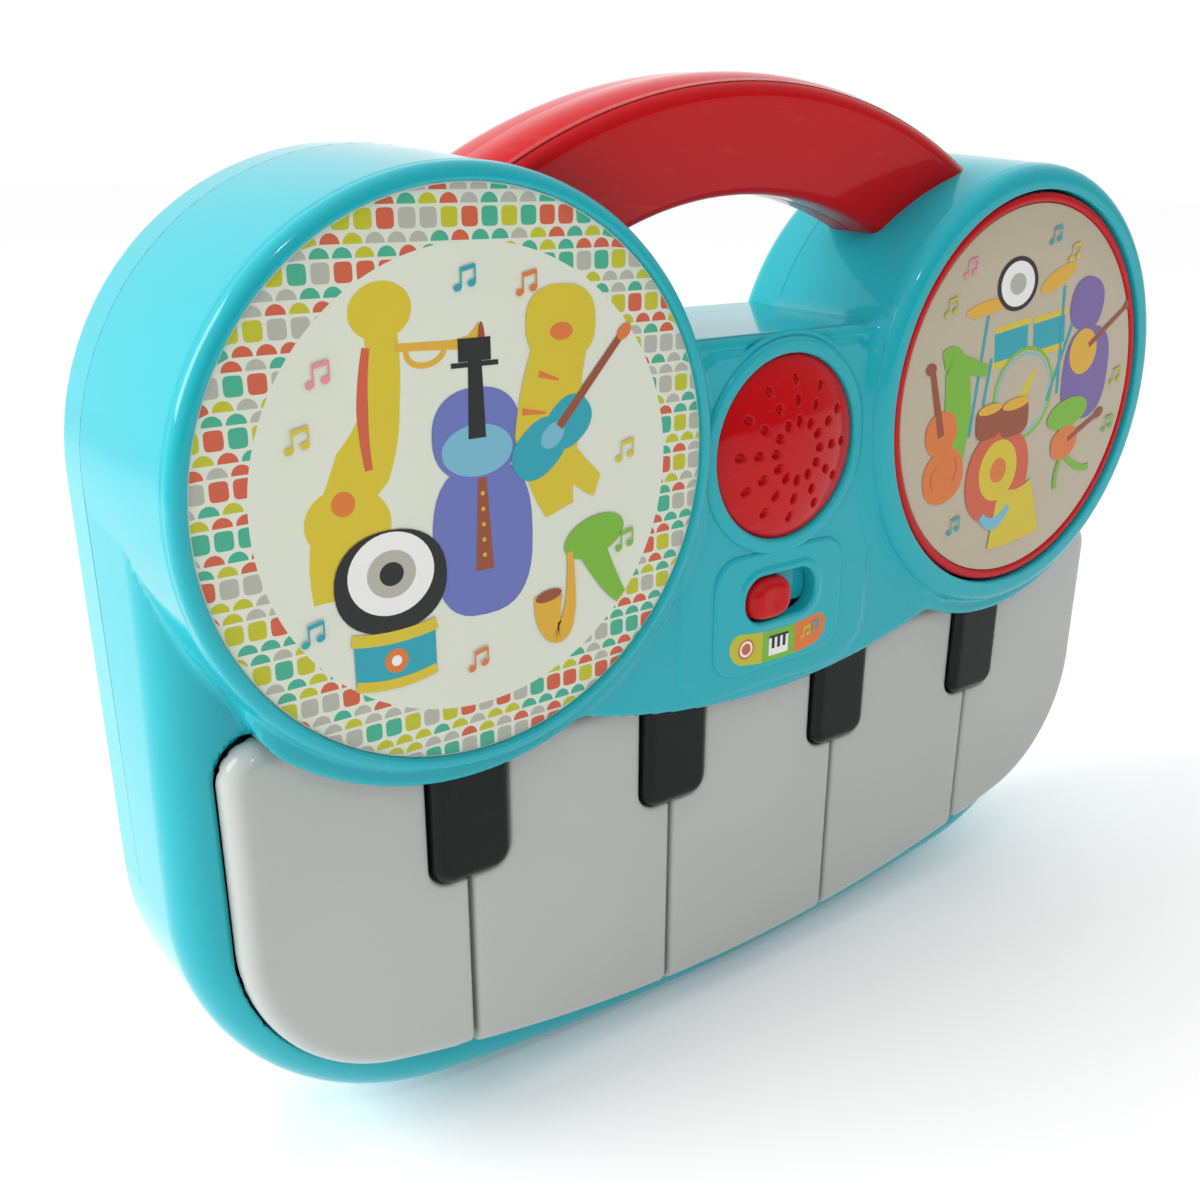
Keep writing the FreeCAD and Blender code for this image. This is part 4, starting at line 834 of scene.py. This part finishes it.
SEAM = span("handle_front", 1)[1]
FACE, BACK = span("handle_front", 1)[0], span("handle_rear", 1)[1]
front_section = softened([(0, FACE + 8, 3.5), (RIDGE, FACE, 4), (HANDLE_RISE, FACE + 8, 6),
                          (HANDLE_RISE, SEAM - 0.01, 0.05), (0, SEAM - 0.12, 0.5)])
rear_section = softened([(0, SEAM + 0.12, 0.5), (HANDLE_RISE, SEAM + 0.01, 0.05),
                         (HANDLE_RISE, BACK - 7, 6), (RIDGE, BACK, 4), (0, BACK - 8, 3.5)])
for name, section in (("front", front_section), ("rear", rear_section)):
    points, faces = arch(section)
    piece(f"carry_arch_{name}", points, faces, "red_plastic", stands_for=(f"handle_{name}",))

# %% [markdown]
# ## Inks
# The prints use a small set of flat inks. Each is written as its everyday value and turned
# into the linear value that a shader wants.


# %% Inks
BRIGHTEST_INK = 0.88


def ink_of(r, g, b, lift=1.22):
    """Linear colour of a printed ink from its everyday value, lifted out of the shade."""
    c = np.array([r, g, b]) / 255
    linear = np.where(c < 0.04, c / 12.92, ((c + 0.055) / 1.055) ** 2.4)
    return np.minimum(linear * lift, BRIGHTEST_INK)


INKS = {
    "cream": ink_of(205, 210, 195), "warm": ink_of(172, 162, 142, 1.3), "red": ink_of(192, 88, 60),
    "green": ink_of(62, 160, 130), "olive": ink_of(176, 176, 36), "grey": ink_of(166, 166, 154),
    "yellow": ink_of(198, 178, 44), "amber": ink_of(206, 160, 48), "violet": ink_of(96, 108, 172),
    "brown": ink_of(140, 72, 44), "black": ink_of(30, 32, 32), "white": ink_of(222, 224, 218),
    "teal": ink_of(36, 150, 166), "leaf": ink_of(112, 170, 50), "pink": ink_of(214, 130, 146),
    "orange": ink_of(204, 112, 50), "sky": ink_of(110, 170, 190), "plum": ink_of(110, 92, 150),
}
print(len(INKS), "inks:", ", ".join(INKS))

# %% [markdown]
# ## Printed discs
# The left disc is a fixed printed sheet. The right one lies on a red pad that can be pressed;
# a dark gap runs between the pad's raised ring and the drum's rim. Both prints show plain
# instruments and notes on cream, and the left one has a border of small rounded tiles.


# %% Printed discs
DISC_TURNS = 192


def disc(radius, face, thick, edge=0.4):
    """Thin disc profile in (r, y), from its back edge over a small round to its centre."""
    return ([(radius, face + thick)] + corner_arc((radius - edge, face + edge), edge, 0, -90, 5)
            + [(radius * f, face) for f in (0.75, 0.5, 0.25, 0.02)])


def disc_piece(name, profile, x, slot, body, stands_for, ink=None):
    """Turned profile closed by a small centre face."""
    points, faces = turned(profile, (x, DRUM_Z), DISC_TURNS)
    centre = list(range(len(points) - DISC_TURNS, len(points)))
    inks = None if ink is None else np.tile(ink, (len(points), 1))
    piece(name, points, faces.tolist() + [centre], slot, body=body, stands_for=stands_for,
          ink=inks)


LEFT_FACE, RIGHT_FACE = span("left_drum_print", 1)[0], span("right_drum_print", 1)[0]
PAD_FACE = span("right_drum_pad", 1)[0]
disc_piece("left_disc", disc(LEFT_PRINT, LEFT_FACE, 0.8), -DRUM_X, "printed_paper", "case",
           ("left_drum_print",), INKS["cream"])
disc_piece("right_disc", disc(RIGHT_PRINT - 0.2, RIGHT_FACE, 0.7), DRUM_X, "printed_paper",
           "drum_pad", ("right_drum_print",), INKS["warm"])
pad = ([(PAD_RADIUS, FRONT + 8.5)] + corner_arc((PAD_RADIUS - 1.3, PAD_FACE + 1.3), 1.3, 0, -90)
       + corner_arc((RIGHT_PRINT + 0.9, PAD_FACE + 0.9), 0.9, -90, -180)
       + [(RIGHT_PRINT * f, RIGHT_FACE + 0.8) for f in (1.0, 0.5, 0.02)])
disc_piece("pad_shell", pad, DRUM_X, "red_plastic", "drum_pad", ("right_drum_pad",))

# %% [markdown]
# ## Flat print shapes
# The print is built from flat shapes, each a hair in front of the last: ovals, ribbons that
# follow a curve, and note signs. A shape is an outline from a formula, so it has no thickness
# to model, and its colour is stored with its points.

# %% Flat print shapes
LAYER = 0.008   # millimetres from one shape to the next in front of it


class Sheet:
    """Collects flat shapes on one disc: points, faces and inks."""

    def __init__(self, x, z, face):
        self.x, self.z, self.face = x, z, face
        self.points, self.faces, self.inks, self.count = [], [], [], 0
        self.level = 1

    def add(self, outline, ink, quads=None, rise=True):
        """One more shape, a hair in front of the last unless it can't overlap it."""
        outline = np.asarray(outline, float)
        self.level += rise
        depth = np.full(len(outline), self.face - LAYER * self.level)
        self.points.append(np.stack([self.x + outline[:, 0], depth,
                                     self.z + outline[:, 1]], -1))
        shapes = [range(len(outline))] if quads is None else quads
        self.faces += [[self.count + n for n in shape] for shape in shapes]
        self.inks.append(np.tile(INKS[ink], (len(outline), 1)))
        self.count += len(outline)

    def oval(self, ink, x, z, rx, rz, turn=0, power=1.0, count=36):
        """(rx c^p, rz s^p) turned by an angle: power 1 is an ellipse, less is squarer."""
        t = np.linspace(0, 2 * np.pi, count, endpoint=False)
        c, s = np.cos(t), np.sin(t)
        a, b = rx * np.sign(c) * abs(c) ** power, rz * np.sign(s) * abs(s) ** power
        k = math.radians(turn)
        self.add(np.stack([x + a * math.cos(k) - b * math.sin(k),
                           z + a * math.sin(k) + b * math.cos(k)], -1), ink)

    def ribbon(self, ink, path, widths, count=25):
        """Bezier curve through the control path, thickened by widths along its length."""
        path = np.array(path, float)
        order = len(path) - 1
        t = np.linspace(0, 1, count)[:, None]
        weight = [math.comb(order, n) * t ** n * (1 - t) ** (order - n) for n in range(order + 1)]
        line = sum(w * c for w, c in zip(weight, path))
        along = np.gradient(line, axis=0)
        across = np.stack([-along[:, 1], along[:, 0]], -1)
        across /= np.linalg.norm(across, axis=1, keepdims=True)
        half = np.interp(t[:, 0], np.linspace(0, 1, len(widths)), widths)[:, None] / 2
        outline = np.concatenate([line + across * half, line - across * half])
        quads = [(n, n + count, n + count + 1, n + 1) for n in range(count - 1)]
        self.add(outline, ink, quads)

    def note(self, ink, x, z, size=3.6):
        """Two heads, two stems and a beam."""
        for dx, lift in ((0, 0), (size, size * 0.25)):
            self.oval(ink, x + dx, z + lift, size * 0.3, size * 0.22, 20, count=16)
            stem = x + dx + size * 0.24
            self.ribbon(ink, [(stem, z + lift), (stem, z + lift + size * 1.1)], [0.45, 0.45], 3)
        beam = [(x + size * 0.2, z + size * 1.05), (x + size * 1.28, z + size * 1.3)]
        self.ribbon(ink, beam, [1.0, 1.0], 3)

    def make(self, name, body="case", stands_for=()):
        """The whole sheet as one piece."""
        piece(name, np.concatenate(self.points), self.faces, "printed_paper", body=body,
              stands_for=stands_for, ink=np.concatenate(self.inks), smooth=False)


print("shapes on a sheet lie", LAYER, "mm apart")

# %% [markdown]
# ## Tile border
# Rows of rounded squares and of half-discs fill the left disc's outer ring. Their inks are
# drawn by chance from four, with a fixed seed, so the border is the same every time.


# %% Tile border
def tile_border(sheet, inner=58.5, outer=71.2):
    """Rows of rounded squares and half-discs that fill a ring, cut off at the ring's edge."""
    inks = ("red", "olive", "green", "grey")
    picks = np.random.default_rng(7)
    t = np.linspace(0, 2 * np.pi, 20, endpoint=False)
    square = np.stack([np.sign(np.cos(t)) * abs(np.cos(t)) ** 0.45,
                       np.sign(np.sin(t)) * abs(np.sin(t)) ** 0.45], -1) * [2.2, 2.3]
    u = np.linspace(0, np.pi, 12)
    dome = np.stack([np.cos(u) * 2.35, np.sin(u) * 2.35 - 1.1], -1)
    z, row = -72.0, 0
    while z < 73.0:
        shape, rise = ((square, 5.2), (dome, 2.95), (dome, 2.95))[row % 3]
        for column in range(-14, 15):
            middle = np.array([column * 5.35 + (2.67 if row % 3 == 2 else 0.0), z + rise / 2])
            reach = float(np.hypot(*middle))
            if inner - 4 < reach < outer + 1.5:
                points = shape + middle
                length = np.hypot(points[:, 0], points[:, 1])[:, None]
                points = points * np.minimum(1, outer / length)
                sheet.add(points, inks[picks.integers(4)], rise=False)
        z, row = z + rise, row + 1
    sheet.oval("cream", 0, 0, inner, inner, count=160)


left = Sheet(-DRUM_X, DRUM_Z, LEFT_FACE)
tile_border(left)
print("border tiles:", len(left.inks) - 1)

# %% [markdown]
# ## Pictures on the left disc
# A tall yellow horn with a trumpet, a violet bass with a clarinet in front, a yellow shaker
# with a teal guitar, a gong over a side drum, and a saxophone over a green leaf shape.

# %% Pictures on the left disc
left.ribbon("yellow", [(-42, -22), (-44, 6), (-27, 2), (-21, 20), (-25, 47)],
            [6, 9, 15, 9, 8])
left.oval("yellow", -35, -4, 11, 9, -12)
left.oval("yellow", -24, 44, 8, 6.5, 12)
left.ribbon("red", [(-29, 8), (-31, 22), (-28, 36)], [2.0, 3.0, 2.0])
left.oval("orange", -36, 1, 3, 3)
left.ribbon("amber", [(-21, 35.5), (-6, 35.0)], [1.8, 2.2])
left.ribbon("amber", [(-18, 35), (-19, 29), (-8, 30), (-8, 35)], [1.4, 1.4])
left.ribbon("amber", [(-6, 35), (-1, 35), (2, 35.5)], [2.2, 3.5, 9.0], 9)
left.oval("brown", 2.0, 35.5, 1.0, 4.4)
left.oval("violet", 1, -14, 14.5, 20, 0, 0.75)
left.oval("violet", 0, 13, 12.5, 11.5, 0, 0.85)
left.oval("sky", 0, 9, 10, 6.5)
left.ribbon("black", [(0, 12), (0, 33)], [5.0, 3.6], 5)
left.ribbon("black", [(-4.5, 33.5), (4.5, 33.5)], [5.5, 5.5], 5)
left.ribbon("black", [(-6.5, 30), (6.5, 30)], [1.2, 1.2], 5)
left.ribbon("brown", [(1, 2), (1, -22)], [2.4, 5.2])
for hole in range(5):
    left.oval("amber", 1, -2 - 4 * hole, 0.6, 0.6, count=10)
left.oval("yellow", 25, 38, 10.5, 9.5, 0, 0.8)
left.ribbon("yellow", [(25, 33), (17, 10), (24, -10)], [16, 20, 9])
left.ribbon("yellow", [(24, 6), (33, -4), (36, -5)], [8, 6])
left.ribbon("orange", [(18, 26), (24, 24)], [1.8, 0.6])
left.ribbon("orange", [(13, 17), (20, 16)], [1.8, 0.6])
left.oval("orange", 25, 36, 3.4, 2.2)
left.oval("teal", 18, 7, 9, 6.5, 40, 0.85)
left.oval("teal", 27, 13, 7.5, 6.0, 40, 0.85)
left.oval("sky", 22, 10, 4.0, 2.8, 40)
left.ribbon("brown", [(24, 12), (43, 33)], [2.4, 2.0])
left.oval("orange", 44.5, 34.5, 2.6, 1.7, 40)
left.oval("black", -25, -20, 15, 13, 0, 0.9)
left.oval("white", -25, -18, 11.5, 10.5)
left.oval("grey", -25, -18, 6.5, 6.0)
left.oval("black", -25, -18, 3.2, 3.0)
left.ribbon("teal", [(-36, -40), (-14, -40)], [11, 11], 5)
left.ribbon("yellow", [(-36.5, -33), (-25, -35.5), (-13.5, -33)], [3.2, 3.2])
left.ribbon("yellow", [(-36, -45), (-25, -48), (-14, -45)], [2.6, 2.6])
left.oval("orange", -25, -40.5, 3.2, 3.2)
left.oval("white", -25, -40.5, 1.4, 1.4)
left.oval("leaf", 35, -19, 10, 5.5, 14)
left.ribbon("leaf", [(33, -20), (40, -34), (44, -38)], [9, 4])
left.ribbon("amber", [(27, -22), (28, -40), (27, -49), (18, -47), (20, -33)],
            [1.8, 3.5, 5.5, 6.5, 9])
left.oval("brown", 20, -33, 4.2, 1.6, 8)
for ink, x, z in (("teal", -2, 50), ("orange", 15, 48), ("pink", -40, 31), ("yellow", -46, 17),
                  ("yellow", 45, 3), ("leaf", 45, -22), ("teal", -46, -29), ("orange", -2, -46)):
    left.note(ink, x - 2, z - 2, 3.8)
left.make("left_disc_print")

# %% [markdown]
# ## Pictures on the right disc
# A drum kit with cymbals in the middle, an orange bass at the left, a banjo at the right, a
# small guitar and a red flower shape below.

# %% Pictures on the right disc
right = Sheet(DRUM_X, DRUM_Z, RIGHT_FACE)
for x, z, tilt in ((-18, 17, 4), (3, 19, 4)):
    right.ribbon("teal", [(x - 1, z), (x + 17, z + tilt * 0.6)], [11, 11], 5)
    right.ribbon("yellow", [(x - 1.5, z + 6), (x + 17.5, z + 6 + tilt * 0.6)], [2.2, 2.2], 5)
    right.ribbon("yellow", [(x - 1.5, z - 6), (x + 17.5, z - 6 + tilt * 0.6)], [2.2, 2.2], 5)
right.oval("leaf", 0, 0, 17, 16.5)
right.oval("warm", 0, 0, 15.6, 15.2)
right.oval("sky", 0, 0, 15, 14.6)
right.oval("warm", 0, 0, 14.2, 13.8)
right.ribbon("yellow", [(-4, -6), (3, 1), (-1, 1), (6, 8)], [1, 4, 4, 1])
for path in ([(-28, -12), (-24, 30)], [(-22, -2), (-20, 14)], [(20, -2), (17, 36)],
             [(14, -4), (28, 32)]):
    right.ribbon("teal", path, [1.4, 1.4], 4)
right.ribbon("amber", [(-32, 29), (-12, 33)], [3.0, 3.0], 5)
right.oval("amber", -25, 31, 11, 2.4, 8)
right.oval("amber", 13, 39, 10.5, 3.2, 22)
right.oval("black", -10, 38, 11, 9)
right.oval("white", -10, 38, 9, 7.5)
right.oval("grey", -10, 38, 4.4, 3.6)
right.oval("plum", 36, 4, 14, 17, 0, 0.75)
right.oval("plum", 32, 29, 10, 9.5, -10, 0.85)
right.oval("white", 33, 12, 7.0, 7.0)
right.oval("amber", 33, 12, 8.2, 8.2)
right.ribbon("brown", [(36, 14), (56, 26)], [2.2, 1.8], 5)
right.oval("brown", 58, 27.5, 3, 1.8, 30)
right.ribbon("leaf", [(-45, 15), (-34, 20), (-36, -8), (-34, -24)], [7, 12, 14, 7])
right.ribbon("leaf", [(-38, 14), (-22, 10)], [7, 4], 5)
right.oval("orange", -40, -24, 10.5, 9.5, 12, 0.9)
right.oval("orange", -43, -9, 8.0, 7.5, 12, 0.9)
right.ribbon("brown", [(-43, -10), (-50, 12)], [3.4, 2.4], 5)
right.oval("brown", -51, 13, 2.6, 2.0)
right.ribbon("red", [(-44, -20), (-48, -24), (-45, -28)], [1.0, 1.0])
right.ribbon("red", [(-35, -18), (-32, -22), (-35, -26)], [1.0, 1.0])
right.oval("leaf", 28, -10, 12, 5.5, 10)
right.ribbon("leaf", [(30, -26), (40, -34), (46, -32)], [2.4, 2.4])
right.ribbon("leaf", [(28, -26), (24, -32), (26, -38)], [2.4, 2.4])
right.oval("orange", 28, -21, 8, 6, 15, 0.9)
right.ribbon("brown", [(30, -20), (46, -13)], [2.0, 1.8], 5)
right.oval("brown", 48, -12, 3.0, 1.8, 25)
right.oval("red", -10, -28, 17.5, 17.0, 0, 0.9)
right.oval("yellow", -10, -26, 10.5, 11.0)
right.oval("orange", -10, -26, 4.5, 4.5)
right.oval("brown", -18, -8, 7.0, 6.0, 6, 0.6)
right.oval("brown", -4, -8, 8.0, 6.5, 6, 0.6)
right.oval("amber", -18, -3.5, 6.4, 1.8, 6)
right.oval("amber", -4, -3, 7.4, 2.0, 6)
right.ribbon("yellow", [(-10, -44), (4, -46), (14, -42)], [22, 20, 22])
right.ribbon("sky", [(-17, -42), (-9, -50), (-2, -40)], [3, 5, 3])
for ink, x, z in (("pink", -36, 44), ("teal", 8, 53), ("yellow", 20, 47), ("olive", -44, 32),
                  ("olive", 56, 1), ("leaf", 55, -17), ("teal", -32, -43)):
    right.note(ink, x - 2, z - 2, 4.0)
right.make("right_disc_print", body="drum_pad")

# %% [markdown]
# ## Mode label
# A smiling band under the slot in three colours, one for each place of the knob: a round
# button sign, a tiny keyboard and two notes.


# %% Mode label
def label_band(sheet):
    """x from end to end; height follows two arcs and closes in half circles at the ends."""
    half, thick, bend = 21.0, 10.5, 84.75
    x = np.linspace(-half, half, 85)
    end = np.clip((np.abs(x) - half + thick / 2) / (thick / 2), 0, 1)
    tall = thick / 2 * np.sqrt(np.maximum(1 - end ** 2, 0.0004))
    centre = bend - np.sqrt(bend ** 2 - x ** 2) + thick / 2
    edges = np.concatenate([np.stack([x, centre + tall], -1), np.stack([x, centre - tall], -1)])
    for ink, start, stop in (("olive", 0, 28), ("leaf", 28, 56), ("orange", 56, 84)):
        pick = np.r_[start:stop + 1]
        count = len(pick)
        quads = [(n, n + count, n + count + 1, n + 1) for n in range(count - 1)]
        sheet.add(edges[np.r_[pick, pick + len(x)]], ink, quads, rise=False)


label = Sheet(0.0, span("mode_label", 2)[0], FASCIA_FACE - 1.0)
label_band(label)
label.oval("red", -14, 6.6, 3.4, 3.4)
label.oval("white", -14, 6.6, 2.7, 2.7)
label.oval("red", -14, 6.6, 1.9, 1.9)
label.ribbon("white", [(-4.2, 5.2), (4.2, 5.2)], [6.6, 6.6], 3)
for x in (-2.4, 0.0, 2.4):
    label.ribbon("black", [(x, 8.4), (x, 4.2)], [1.3, 1.3], 3)
label.ribbon("black", [(-4.2, 8.3), (4.2, 8.3)], [0.8, 0.8], 3)
label.note("yellow", 10.5, 5.2, 2.6)
label.note("teal", 14.8, 6.6, 2.4)
label.make("mode_sticker", stands_for=("mode_label",))
